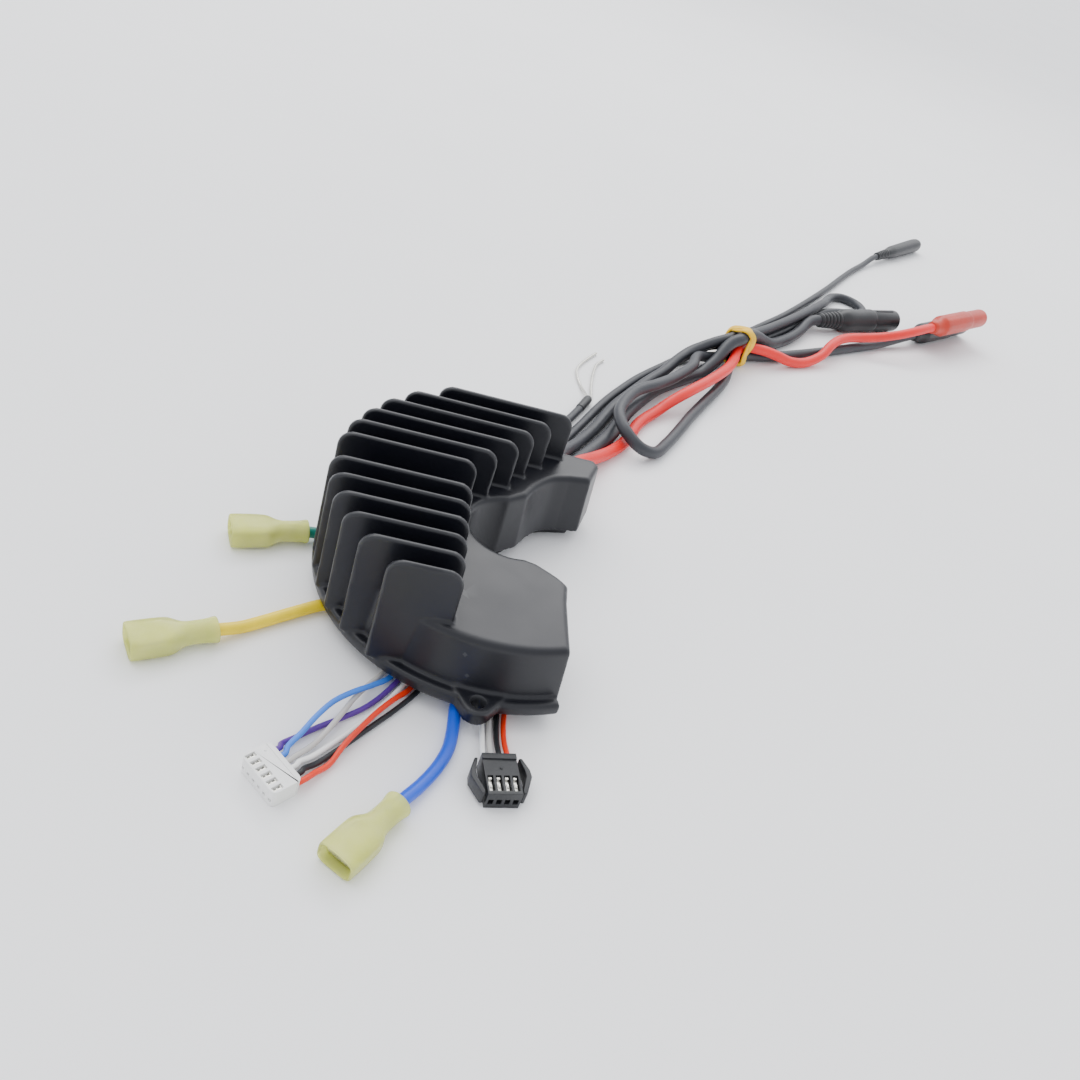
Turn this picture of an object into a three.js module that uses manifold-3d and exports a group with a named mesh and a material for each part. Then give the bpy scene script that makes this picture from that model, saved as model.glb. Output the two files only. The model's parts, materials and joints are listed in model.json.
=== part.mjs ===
// A crescent-shaped electronic speed controller: a finned die-cast heat-sink housing over a circuit
// board, a plastic bottom cover, three motor phase leads, two signal plugs and a bundle of bike leads.
// Millimetres, +Z up. X runs along the fins, Y across them, and the part stands on z = 0.
import * as THREE from "three";
import { mergeVertices } from "three/addons/utils/BufferGeometryUtils.js";
import Module from "manifold-3d";

const wasm = await Module();
wasm.setup();

// ---- Driving dimensions -------------------------------------------------------------------------
const GAP = 0.3; // clearance kept between neighbouring pieces
const ARC_STEPS = 12; // half the number of straight steps in a long arc

const RIM_BOTTOM = 4.0; // underside of the casting
const RIM_TOP = 7.8; // top of the thin flange round the outside
const RIM_RADIUS = 49.0;
const DECK_Z = 22.7; // flat top of the hollow body that carries the fins
const FIN_TOP = 37.5;
const DECK_RADIUS = 43.0; // outer edge of the flat deck
const EDGE_ROUND = 1.7; // rounding between the deck and the wall
const WALL_DRAFT = 1.5; // how much the wall leans out from its top to its foot
const SKIN = 2.8; // thickness of the casting's walls
const CEILING_Z = 19.5; // top of the hollow inside

const FIN_PITCH = 7.0;
const FIN_SPLIT = 11.3; // the wider step between the sixth and the seventh fin
const FIRST_FIN_Y = 42.5;
const FIN_TIP = 1.4; // thickness along the top
const FIN_FOOT = 4.2; // thickness at the flange
const FIN_CORNER = 4.4; // radius of the fin's top corners
const FIN_ENDS = [16.2, 9.7, 4.6, 0.3, -5.6, -11.0, -11.4, -11.4, -11.4, -11.4, -11.4, -11.4];

const RECESS = { x: 2.4, y: 2.8, r: 13.9 }; // the round bite that clears the motor's bearing boss
const EAR_TOP = 8.2;
const EAR_FOOT = 3.6; // underside of the flat foot below each ear
const EAR_HOLE = 1.65;
const EAR_REACH = 49.4; // distance of an ear's hole from the centre
const EAR_ANGLES = [-91.2, 118]; // front ear and back ear, in degrees

const COVER_TOP = RIM_BOTTOM - GAP;
const COVER_INSET = 0.4; // from the deck's edge
const COVER_FLOOR = 1.4;
const COVER_WALL = 1.8;
const BOSSES = [[12.4, -20.4], [6.0, -36.2], [-17.6, 2.8], [16.2, 39.6]];
const BOSS_RADIUS = 2.9;

const OUTLET = { left: 10.6, right: 26.0, low: 6.0, high: 17.6, face: 49.6 }; // cable window

const BOARD_Z = 8.0;
const BOARD_THICK = 1.6;
const SWITCH_COUNT = 6; // power transistors, on an arc under the fins
const SWITCH_ARC = { radius: 31, first: 110, step: 26 };

const PHASE_WIRE = 3.2; // diameters of the leads
const POWER_WIRE = 4.4;
const SIGNAL_WIRE = 1.4;
const DISPLAY_CABLE = 5.2;
const THIN_CABLE = 3.2;

// Housing frame to part frame: the housing's box is centred on the part's origin.
const HOUSING_CENTRE = [-9.22, -1.895];

// ---- Materials ----------------------------------------------------------------------------------
function finish(color, roughness, metalness = 0) {
  return new THREE.MeshStandardMaterial({ color, roughness, metalness });
}
const LOOKS = {
  casting: finish(0x26282c, 0.42, 0.35),
  plastic: finish(0x1c1d1f, 0.6),
  rubber: finish(0x2a2b2d, 0.75),
  steel: finish(0xb8babd, 0.35, 0.9),
  copper: finish(0xc7b08a, 0.35, 0.9),
  board: finish(0x1d5a34, 0.5),
  chip: finish(0x222325, 0.5),
  can: finish(0x9fa6ad, 0.35, 0.6),
  pad: finish(0x8fa3b5, 0.85),
  sleeve: finish(0xd9dba8, 0.4),
  white: finish(0xe4e4e2, 0.45),
  band: finish(0xd8b400, 0.6),
  yellow: finish(0xdfc600, 0.5),
  green: finish(0x1f8a80, 0.5),
  blue: finish(0x3f6fd8, 0.5),
  purple: finish(0x6a4c98, 0.5),
  sky: finish(0x5a92e0, 0.5),
  grey: finish(0xb5b0ac, 0.5),
  orange: finish(0xe8501e, 0.5),
  red: finish(0xf0503c, 0.5),
  sheath: finish(0x4a4c52, 0.6),
  black: finish(0x2b2b2e, 0.5),
};

// ---- Solids -------------------------------------------------------------------------------------
// A three.js geometry, moved by a matrix, as a manifold-3d solid.
function solid(geometry, matrix = new THREE.Matrix4()) {
  const copy = geometry.clone().applyMatrix4(matrix);
  copy.deleteAttribute("normal");
  copy.deleteAttribute("uv");
  const merged = mergeVertices(copy, 1e-4);
  return new wasm.Manifold(
    new wasm.Mesh({
      numProp: 3,
      vertProperties: merged.attributes.position.array,
      triVerts: new Uint32Array(merged.index.array),
    }),
  );
}

function geometryOf(made) {
  const mesh = made.getMesh();
  const geometry = new THREE.BufferGeometry();
  geometry.setAttribute("position", new THREE.BufferAttribute(mesh.vertProperties, 3));
  geometry.setIndex(new THREE.BufferAttribute(mesh.triVerts, 1));
  return geometry;
}

function at(x, y, z, turn = 0) {
  const matrix = new THREE.Matrix4().makeRotationZ(turn);
  return matrix.setPosition(x, y, z);
}

// A block given by its lowest and highest corners.
function block(low, high, matrix) {
  const size = high.map((value, axis) => value - low[axis]);
  const geometry = new THREE.BoxGeometry(...size);
  geometry.translate(...high.map((value, axis) => (value + low[axis]) / 2));
  return solid(geometry, matrix);
}

// An upright post from z = low to z = high.
function post(x, y, radius, low, high, sides = 24) {
  const geometry = new THREE.CylinderGeometry(radius, radius, high - low, sides);
  geometry.rotateX(Math.PI / 2);
  return solid(geometry, at(x, y, (low + high) / 2));
}

// A flat outline raised from z = low to z = high.
function raised(shape, low, high) {
  const geometry = new THREE.ExtrudeGeometry(shape, {
    depth: high - low,
    curveSegments: ARC_STEPS,
    bevelEnabled: false,
  });
  return solid(geometry, at(0, 0, low));
}

// Like raised, with its outline drawn in by `size` at both ends over a height of `tall`.
function eased(shape, low, high, grow, size, tall, segments = 1) {
  const geometry = new THREE.ExtrudeGeometry(shape, {
    depth: high - low - 2 * tall,
    curveSegments: ARC_STEPS,
    bevelThickness: tall,
    bevelSize: size,
    bevelOffset: grow,
    bevelSegments: segments,
  });
  return solid(geometry, at(0, 0, low + tall));
}

function rectangle(halfX, halfY, radius) {
  const shape = new THREE.Shape();
  const x = halfX - radius;
  const y = halfY - radius;
  shape.absarc(x, y, radius, 0, Math.PI / 2);
  shape.absarc(-x, y, radius, Math.PI / 2, Math.PI);
  shape.absarc(-x, -y, radius, Math.PI, 1.5 * Math.PI);
  shape.absarc(x, -y, radius, 1.5 * Math.PI, 2 * Math.PI);
  return shape;
}

// A turned piece along +X, from [along, radius] pairs.
function turned(profile, sides = 16) {
  const points = profile.map(([along, radius]) => new THREE.Vector2(radius, along));
  const geometry = new THREE.LatheGeometry(points, sides);
  geometry.rotateZ(-Math.PI / 2);
  return solid(geometry);
}

const root = new THREE.Group();
root.position.set(-HOUSING_CENTRE[0], -HOUSING_CENTRE[1], 0);

function add(name, made, look, parent = root) {
  const mesh = new THREE.Mesh(geometryOf(made), LOOKS[look]);
  mesh.name = name;
  parent.add(mesh);
  return mesh;
}

// ---- Housing ------------------------------------------------------------------------------------
const rad = THREE.MathUtils.degToRad;

// The S-shaped inner edge of the arm: points, each with its direction into the casting.
const ARM_EDGE = [
  [4.8, 20.2, -0.75, 0.66],
  [8.0, 26.2, -0.82, 0.57],
  [12.8, 31.6, -0.6, 0.8],
  [18.6, 34.3, -0.3, 0.95],
];

// The outline of the deck: the long outer arc, front block, round recess, S-shaped arm and outlet
// end. `inset` draws the whole outline in.
function outline(inset = 0) {
  const shape = new THREE.Shape();
  shape.absarc(0, 0, DECK_RADIUS - inset, rad(98), rad(293 - 0.6 * inset), false);
  shape.lineTo(16.1 - inset, -29.5);
  shape.lineTo(15.9 - inset, -22.5);
  shape.lineTo(16.2 - inset, -17.0 - 0.5 * inset);
  if (inset < 1) {
    shape.lineTo(15.1, -15.3 - inset);
    shape.lineTo(13.0, -13.9 - inset);
    shape.lineTo(8.8, -11.4 - inset);
  }
  shape.absarc(RECESS.x, RECESS.y, RECESS.r + inset, rad(-76), rad(-263), true);
  shape.splineThru(ARM_EDGE.map(([x, y, inX, inY]) => {
    return new THREE.Vector2(x + inset * inX, y + inset * inY);
  }));
  shape.lineTo(24.3 - 0.7 * inset, 35.8 + inset);
  shape.lineTo(26.9 - inset, 43.0 - 0.4 * inset);
  shape.lineTo(25.6 - 0.8 * inset, 44.6 - inset);
  shape.lineTo(8.0, 44.6 - inset);
  return shape;
}

// The thin flange: an arc-shaped strip under the outer wall.
function rimOutline() {
  const shape = new THREE.Shape();
  shape.absarc(0, 0, RIM_RADIUS - 1.2, rad(76), rad(293.6), false);
  shape.absarc(0, 0, 34, rad(294), rad(82), true);
  return shape;
}

function earOutline() {
  const shape = new THREE.Shape();
  shape.moveTo(42, -9.5);
  shape.absarc(EAR_REACH, 0, 4.0, rad(-62), rad(62), false);
  shape.lineTo(42, 9.5);
  return shape;
}

// The foot under an ear, clear of the bottom cover and of the leads beside it.
function footOutline() {
  const shape = new THREE.Shape();
  shape.moveTo(43.4, -1.55);
  shape.lineTo(47.4, -1.55);
  shape.lineTo(47.4, 1.55);
  shape.lineTo(43.4, 1.55);
  return shape;
}

// A flat outline on the +X axis, raised from z = low to z = high and turned to `angle` degrees.
function raisedAt(angle, shape, low, high) {
  const settings = { depth: high - low, curveSegments: 8, bevelEnabled: false };
  const geometry = new THREE.ExtrudeGeometry(shape, settings);
  geometry.translate(0, 0, low);
  return solid(geometry, new THREE.Matrix4().makeRotationZ(rad(angle)));
}

// The fins' places across the housing, back to front.
function finPlaces() {
  return FIN_ENDS.map((end, k) => {
    const split = k < 6 ? 0 : FIN_SPLIT - FIN_PITCH;
    return { y: FIRST_FIN_Y - k * FIN_PITCH - split, end };
  });
}

// One fin: a tapering plate with round top corners. It stands on the deck and, past the wall,
// on the flange.
function fin({ y, end }, k) {
  const start = -Math.sqrt(RIM_RADIUS ** 2 - y ** 2);
  const step = k === 0 ? 10 : k < 6 ? -20 : -13;
  const low = RIM_TOP - 1;
  const side = new THREE.Shape();
  side.moveTo(start, low);
  side.lineTo(step, low);
  side.lineTo(step, DECK_Z - 1);
  side.lineTo(end, DECK_Z - 1);
  side.absarc(end - FIN_CORNER, FIN_TOP - FIN_CORNER, FIN_CORNER, 0, Math.PI / 2, false);
  side.absarc(start + FIN_CORNER, FIN_TOP - FIN_CORNER, FIN_CORNER, Math.PI / 2, Math.PI, false);
  const plate = new THREE.ExtrudeGeometry(side, { depth: 8, curveSegments: 3, bevelEnabled: false });
  plate.rotateX(Math.PI / 2);
  const taper = new THREE.Shape();
  taper.moveTo(-FIN_FOOT / 2, RIM_TOP - 2);
  taper.lineTo(FIN_FOOT / 2, RIM_TOP - 2);
  taper.lineTo(FIN_TIP / 2, FIN_TOP + 1);
  taper.lineTo(-FIN_TIP / 2, FIN_TOP + 1);
  const wedge = new THREE.ExtrudeGeometry(taper, { depth: 120, bevelEnabled: false });
  wedge.rotateX(Math.PI / 2).rotateZ(Math.PI / 2).translate(-60, y, 0);
  return solid(plate, at(0, y + 4, 0)).intersect(solid(wedge));
}

function housing() {
  const deck = outline();
  const wallTop = DECK_Z - EDGE_ROUND;
  const wallFoot = RIM_BOTTOM - 1;
  const tall = wallTop - wallFoot;
  const cutLow = block([-80, -80, -40], [80, 80, RIM_BOTTOM]);
  const lean = eased(deck, wallFoot - tall, wallTop + 0.02, EDGE_ROUND, WALL_DRAFT, tall);
  const top = eased(deck, RIM_TOP, DECK_Z, 0, EDGE_ROUND, EDGE_ROUND, 2);
  const rim = eased(rimOutline(), RIM_BOTTOM, RIM_TOP, 0, 1.2, 1.2, 2);
  let made = lean.subtract(cutLow).add(top).add(rim);
  finPlaces().forEach((place, k) => {
    made = made.add(fin(place, k));
  });
  made = made.subtract(raised(outline(SKIN), -1, CEILING_Z));
  for (const [x, y] of BOSSES) {
    made = made.add(post(x, y, BOSS_RADIUS, RIM_BOTTOM, CEILING_Z + 1));
    made = made.subtract(post(x, y, 1.3, RIM_BOTTOM - 1, 13, 12));
  }
  for (const angle of EAR_ANGLES) {
    const reach = [EAR_REACH * Math.cos(rad(angle)), EAR_REACH * Math.sin(rad(angle))];
    made = made.add(raisedAt(angle, earOutline(), RIM_BOTTOM, EAR_TOP));
    made = made.add(raisedAt(angle, footOutline(), EAR_FOOT, RIM_BOTTOM + 0.5));
    made = made.subtract(post(...reach, EAR_HOLE, 0, 20));
  }
  return made.subtract(block([OUTLET.left, 40, OUTLET.low], [OUTLET.right, 55, OUTLET.high]));
}

add("heatsink_housing", housing(), "casting");

// ---- Bottom cover and its screws ----------------------------------------------------------------
// Each notch lets a lead out under the flange: its direction in degrees and its width.
const NOTCHES = [[170, 5.4], [206, 4.2], [243.5, 12.8], [263, 4.2], [275.3, 8.8]];

function bottomCover() {
  const hollow = raised(outline(COVER_INSET + COVER_WALL), COVER_FLOOR, COVER_TOP + 1);
  let made = raised(outline(COVER_INSET), 0, COVER_TOP).subtract(hollow);
  for (const [angle, width] of NOTCHES) {
    const turn = new THREE.Matrix4().makeRotationZ(rad(angle));
    made = made.subtract(block([40, -width / 2, -1], [48, width / 2, 5], turn));
  }
  for (const [x, y] of BOSSES) {
    made = made.add(post(x, y, 3.9, COVER_FLOOR - 0.5, COVER_TOP));
    made = made.subtract(post(x, y, 2.7, -1, 1.9)).subtract(post(x, y, 1.4, -1, 5, 16));
  }
  return made;
}
add("bottom_cover", bottomCover(), "plastic");

function coverScrew() {
  const head = post(0, 0, 2.3, 0.3, 1.6);
  const shank = post(0, 0, 1.0, 1.5, 11, 12);
  const slot = block([-1.5, -0.25, 0], [1.5, 0.25, 0.9]);
  return head.add(shank).subtract(slot).subtract(block([-0.25, -1.5, 0], [0.25, 1.5, 0.9]));
}
BOSSES.forEach(([x, y], k) => {
  add(`cover_screw_${k + 1}`, coverScrew(), "steel").position.set(x, y, 0);
});

// ---- Electronics inside -------------------------------------------------------------------------
const BOARD_TOP = BOARD_Z + BOARD_THICK;

function circuitBoard() {
  let made = raised(outline(SKIN + 0.8), BOARD_Z, BOARD_TOP);
  for (const [x, y] of BOSSES) {
    made = made.subtract(post(x, y, BOSS_RADIUS + 0.5, 0, 20));
  }
  return made.subtract(block([8, 42, 0], [40, 60, 20])).subtract(block([14, 30, 0], [40, 60, 20]));
}
add("circuit_board", circuitBoard(), "board");

// A flat power transistor: its tab points outwards and its three legs reach down to the board.
function powerSwitch() {
  const low = 13.6;
  let made = block([-4.5, -5, low], [4.5, 5, 17.9]).add(block([4, -5, 16.6], [7.5, 5, 17.9]));
  for (const y of [-2.54, 0, 2.54]) {
    made = made.add(block([-7.0, y - 0.4, low + 1], [-4, y + 0.4, low + 1.6]));
    made = made.add(block([-7.0, y - 0.4, BOARD_TOP + GAP], [-6.4, y + 0.4, low + 1.6]));
  }
  return made;
}
for (let k = 0; k < SWITCH_COUNT; k++) {
  const angle = rad(SWITCH_ARC.first + k * SWITCH_ARC.step);
  const mesh = add(`power_transistor_${k + 1}`, powerSwitch(), "chip");
  mesh.position.set(SWITCH_ARC.radius * Math.cos(angle), SWITCH_ARC.radius * Math.sin(angle), 0);
  mesh.rotation.z = angle;
}

function thermalPad() {
  const shape = new THREE.Shape();
  shape.absarc(0, 0, 39.0, rad(99), rad(251), false);
  shape.absarc(0, 0, 24.5, rad(251), rad(99), true);
  return raised(shape, 17.9 + GAP, CEILING_Z - GAP);
}
add("thermal_pad", thermalPad(), "pad");

function capacitor() {
  const profile = [[-6.5, 0], [-6.5, 3.4], [-5.9, 4], [6, 4], [6.5, 3.6], [6.5, 0]];
  return turned(profile);
}
const CAPACITORS = [[0.6, -19.4], [0.6, -28.2], [1.1, 35.0]];
CAPACITORS.forEach(([x, y], k) => {
  add(`bulk_capacitor_${k + 1}`, capacitor(), "can").position.set(x, y, BOARD_TOP + 4.3);
});

const under = BOARD_Z - GAP;
add("microcontroller", block([-31.5, -13.5, under - 1.4], [-24.5, -6.5, under]), "chip");
add("gate_driver", block([-31, 5, under - 1.2], [-25, 11, under]), "chip");
const SHUNT_TOP = BOARD_TOP + 1.9;
const shuntBar = block([-13.4, -34.2, BOARD_TOP + GAP], [-6.9, -31.2, SHUNT_TOP]);
const shuntArch = block([-11.9, -35, 0], [-8.4, -30, SHUNT_TOP - 0.6]);
add("current_shunt", shuntBar.subtract(shuntArch), "copper");

// ---- Cable outlet -------------------------------------------------------------------------------
function cableGrommet() {
  const low = [OUTLET.left + GAP, 43.2, OUTLET.low + GAP];
  const high = [OUTLET.right - GAP, OUTLET.face, OUTLET.high - GAP];
  return block(low, high);
}
add("cable_grommet", cableGrommet(), "rubber");

// ---- Leads --------------------------------------------------------------------------------------
// A round lead along hand-placed points.
function lead(name, points, diameter, look) {
  const curve = new THREE.CatmullRomCurve3(
    points.map((p) => new THREE.Vector3(...p)),
    false,
    "centripetal",
  );
  const section = new THREE.Shape();
  section.absarc(0, 0, diameter / 2, 0, 2 * Math.PI);
  const geometry = new THREE.ExtrudeGeometry(section, {
    steps: Math.max(6, Math.ceil(curve.getLength() / (2.6 * diameter))),
    curveSegments: 4,
    bevelEnabled: false,
    extrudePath: curve,
  });
  return add(name, solid(geometry), look);
}

// Motor phase leads: route, then the place and direction of the insulated terminal at its end.
const PHASES = [
  {
    name: "green",
    route: [[-39.6, 8.0, 1.9], [-43.2, 7.7, 1.9], [-47.0, 6.9, 2.1], [-50.0, 6.0, 2.8]],
    rear: [-51.5, 5.5],
    turn: rad(198.9),
  },
  {
    name: "yellow",
    route: [
      [-37.0, -18.1, 1.9], [-40.4, -19.6, 1.9], [-43.9, -21.6, 1.9], [-47.9, -24.6, 1.8],
      [-52.1, -27.9, 1.7], [-56.4, -31.4, 1.7], [-60.6, -34.9, 2.0], [-64.6, -37.7, 2.8],
    ],
    rear: [-65.4, -38.3],
    turn: rad(207.9),
  },
  {
    name: "blue",
    route: [
      [-5.0, -41.0, 1.9], [-5.3, -44.6, 1.9], [-5.5, -49.5, 1.8], [-5.6, -54.5, 1.7],
      [-6.2, -60, 1.7], [-8.4, -66.2, 1.7], [-11.8, -72.4, 2.0], [-15.2, -77.6, 2.8],
    ],
    rear: [-16.0, -79.0],
    turn: rad(236.5),
  },
];
const SLEEVE = { length: 21, mouth: 11, halfWide: 4.8, halfTall: 3.2, barrel: 3.2, bore: 1.95 };

// A nylon terminal sleeve along +X: a round barrel, a shoulder and a flat mouth.
function sleeve() {
  const { length, mouth, halfWide, halfTall, barrel, bore } = SLEEVE;
  const start = length - mouth;
  const flat = new THREE.ExtrudeGeometry(rectangle(halfTall, halfWide, 1.2), {
    depth: mouth,
    curveSegments: 2,
    bevelEnabled: false,
  });
  flat.rotateY(Math.PI / 2);
  const hollow = block([start + 1.5, 0.9 - halfWide, 0.9 - halfTall],
    [length + 1, halfWide - 0.9, halfTall - 0.9]);
  const round = turned([[0, 0], [0, barrel], [start + 0.5, barrel], [start + 0.5, 0]]);
  const tunnel = turned([[-1, 0], [-1, bore], [start + 3, bore], [start + 3, 0]]);
  return solid(flat, at(start, 0, 0)).add(round).subtract(tunnel).subtract(hollow);
}

// The tin-plated terminal inside takes a 6.3 mm blade: a flat slotted box and a crimped tail.
function terminal() {
  const { length, mouth } = SLEEVE;
  const start = length - mouth + 2.2;
  const box = block([start, -3.55, -1.5], [length - 0.8, 3.55, 1.5]);
  const slot = block([start + 0.8, -3.2, -0.45], [length, 3.2, 0.45]);
  const seam = block([start - 1, -0.4, 0], [length, 0.4, 2]);
  const tail = turned([[7.3, 0], [7.3, 1.6], [start + 0.5, 1.6], [start + 0.5, 0]], 12);
  return box.add(tail).subtract(slot).subtract(seam);
}

for (const { name, route, rear, turn } of PHASES) {
  const end = [rear[0] + 7 * Math.cos(turn), rear[1] + 7 * Math.sin(turn), SLEEVE.halfTall];
  const middle = [rear[0] + 1.5 * Math.cos(turn), rear[1] + 1.5 * Math.sin(turn), 3.1];
  lead(`phase_wire_${name}`, [...route, middle, end], PHASE_WIRE, name);
  const place = new THREE.Group();
  place.position.set(rear[0], rear[1], SLEEVE.halfTall);
  place.rotation.z = turn;
  root.add(place);
  add(`phase_sleeve_${name}`, sleeve(), "sleeve", place);
  add(`phase_terminal_${name}`, terminal(), "steel", place);
}

// ---- Six-way motor-sensor plug ------------------------------------------------------------------
const SIX_WAY = { x: -44.4, y: -77.0, turn: rad(225.6), length: 7.4, wide: 12.3, tall: 4.8 };
const SIX_PITCH = 2.0;

function sixWayPlug() {
  const { length, wide, tall } = SIX_WAY;
  let made = block([-length / 2, -wide / 2, 0], [length / 2, wide / 2, tall]);
  made = made.subtract(block([-length / 2 - 1, -wide / 2 + 1.2, tall - 0.6],
    [-length / 2 + 2.2, wide / 2 - 1.2, tall + 1]));
  for (let k = 0; k < 6; k++) {
    const y = (k - 2.5) * SIX_PITCH;
    made = made.subtract(block([0.4, y - 0.55, tall - 1.4], [2.9, y + 0.55, tall + 1]));
    made = made.subtract(block([length / 2 - 2, y - 0.5, 1.4], [length / 2 + 1, y + 0.5, 2.4]));
  }
  return made;
}
const sixWay = add("sensor_plug_white", sixWayPlug(), "white");
sixWay.position.set(SIX_WAY.x, SIX_WAY.y, 0);
sixWay.rotation.z = SIX_WAY.turn;

// Where wire k meets the rear face of a plug.
function rearPoint(plug, offset, out, height) {
  const back = new THREE.Vector3(-plug.length / 2 - out, offset, height);
  back.applyAxisAngle(new THREE.Vector3(0, 0, 1), plug.turn);
  return [back.x + plug.x, back.y + plug.y, back.z];
}

const SIX_WIRES = [
  {
    look: "purple",
    route: [
      [-18.6, -37.0, 1.2], [-20.5, -41.5, 1.2], [-23.4, -46.6, 0.9], [-27.0, -51.6, 0.9],
      [-31.9, -56.2, 0.9], [-36.9, -60.4, 0.9], [-41.0, -64.4, 1.0], [-44.0, -68.0, 1.8],
    ],
  },
  {
    look: "sky",
    route: [
      [-20.3, -36.2, 1.2], [-22.6, -41.2, 1.5], [-26.4, -46.0, 2.9], [-30.6, -50.2, 3.9],
      [-34.6, -54.6, 4.2], [-37.6, -59.6, 3.9], [-40.2, -65.0, 3.2], [-42.4, -69.2, 2.6],
    ],
  },
  {
    look: "grey",
    route: [
      [-22.0, -35.4, 1.2], [-24.9, -40.8, 1.2], [-28.0, -46.2, 1.6], [-30.2, -51.2, 2.4],
      [-32.2, -56.4, 2.5], [-34.6, -61.6, 1.8], [-37.4, -66.8, 1.5], [-40.4, -71.0, 2.2],
    ],
  },
  {
    look: "white",
    route: [
      [-16.9, -37.8, 1.2], [-19.0, -42.6, 1.2], [-22.2, -48.6, 0.9], [-25.8, -54.4, 0.9],
      [-29.6, -60.0, 0.9], [-33.6, -65.4, 0.9], [-37.0, -69.8, 1.4], [-39.2, -72.3, 2.2],
    ],
  },
  {
    look: "black",
    route: [
      [-13.6, -39.4, 1.2], [-15.6, -44.2, 1.2], [-19.6, -50.2, 0.9], [-24.4, -56.6, 0.9],
      [-28.6, -62.2, 0.9], [-32.4, -67.2, 0.9], [-35.6, -71.2, 1.2], [-37.8, -73.8, 2.2],
    ],
  },
  {
    look: "orange",
    route: [
      [-15.3, -38.6, 1.2], [-17.2, -43.4, 1.3], [-20.6, -48.9, 2.8], [-24.0, -54.0, 3.0],
      [-27.2, -59.8, 3.0], [-30.2, -65.4, 2.6], [-32.6, -70.6, 1.2], [-35.4, -74.2, 1.8],
    ],
  },
];
SIX_WIRES.forEach(({ look, route }, k) => {
  const offset = (k - 2.5) * SIX_PITCH;
  const end = rearPoint(SIX_WAY, offset, GAP, 2.4);
  const before = rearPoint(SIX_WAY, offset, 2.2, 2.4);
  lead(`sensor_wire_${look}`, [...route, before, end], SIGNAL_WIRE, look);
});

// ---- Four-way plug with two squeeze latches -----------------------------------------------------
const FOUR_WAY = { x: 6.4, y: -67.2, turn: rad(-78.5), length: 11.4, wide: 8.4, tall: 5.6 };
const FOUR_PITCH = 2.0;
const LATCH = { pivot: 4.6, side: 4.9 }; // hinge place from the plug's middle, ahead and sideways

function fourWayPlug() {
  const { length, wide, tall } = FOUR_WAY;
  let made = block([-length / 2, -wide / 2, 0], [length / 2, wide / 2, tall]);
  for (let k = 0; k < 4; k++) {
    const y = (k - 1.5) * FOUR_PITCH;
    made = made.subtract(block([0.6, y - 0.5, tall - 1.6], [4.0, y + 0.5, tall + 1]));
    made = made.subtract(block([length / 2 - 1.6, y - 0.6, 1.6], [length / 2 + 1, y + 0.6, 3.2]));
  }
  return made;
}

// A bowed side arm. It springs from its front end, at the origin, and its rear end is free.
function latchArm(side) {
  const shape = new THREE.Shape();
  shape.moveTo(0.5, -0.35);
  shape.lineTo(0.5, 0.5);
  shape.lineTo(-4.4, 2.5);
  shape.lineTo(-6.4, 2.3);
  shape.lineTo(-9.6, 0.9);
  shape.lineTo(-9.6, 0.1);
  shape.lineTo(-6.2, 1.0);
  shape.lineTo(-4.6, 1.1);
  shape.lineTo(-0.6, -0.35);
  const mirrored = new THREE.Matrix4().makeRotationX(side > 0 ? 0 : Math.PI);
  const arm = raised(shape, -1.9, 1.9);
  return side > 0 ? arm : solid(geometryOf(arm), mirrored);
}

const fourWay = new THREE.Group();
fourWay.position.set(FOUR_WAY.x, FOUR_WAY.y, 0);
fourWay.rotation.z = FOUR_WAY.turn;
root.add(fourWay);
add("signal_plug_black", fourWayPlug(), "black", fourWay);
for (const [name, side] of [["left", -1], ["right", 1]]) {
  const arm = add(`latch_arm_${name}`, latchArm(side), "black", fourWay);
  arm.position.set(LATCH.pivot, side * LATCH.side, FOUR_WAY.tall / 2);
}

const FOUR_WIRES = [
  { look: "white", route: [[1.4, -40.6, 1.2], [1.5, -45, 1.2], [1.5, -49.5, 1.1], [1.8, -54.5, 1.5]] },
  { look: "grey", route: [[3.2, -40.6, 1.2], [3.3, -45, 1.2], [3.3, -49.5, 1.1], [3.5, -54.5, 1.5]] },
  { look: "black", route: [[5, -40.6, 1.2], [5.1, -45, 1.2], [5.2, -49.5, 1.1], [5.4, -54.5, 1.5]] },
  { look: "orange", route: [[6.8, -40.6, 1.2], [7, -45, 1.2], [7, -49.5, 1.1], [7.3, -54.5, 1.5]] },
];
FOUR_WIRES.forEach(({ look, route }, k) => {
  const offset = (k - 1.5) * FOUR_PITCH;
  const end = rearPoint(FOUR_WAY, offset, GAP, 2.8);
  const before = rearPoint(FOUR_WAY, offset, 2.4, 2.7);
  lead(`signal_wire_${look}`, [...route, before, end], SIGNAL_WIRE, look);
});

// ---- Bundle of bike leads -----------------------------------------------------------------------
const BUNDLE = { x: 100.8, y: 186.9, turn: rad(51.4) }; // the rubber band's place, and the way on

// A place near the rubber band: how far on along the bundle, how far to its right, and its height.
function byBand(along, across, z) {
  const c = Math.cos(BUNDLE.turn);
  const s = Math.sin(BUNDLE.turn);
  return [BUNDLE.x + along * c + across * s, BUNDLE.y + along * s - across * c, z];
}

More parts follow.
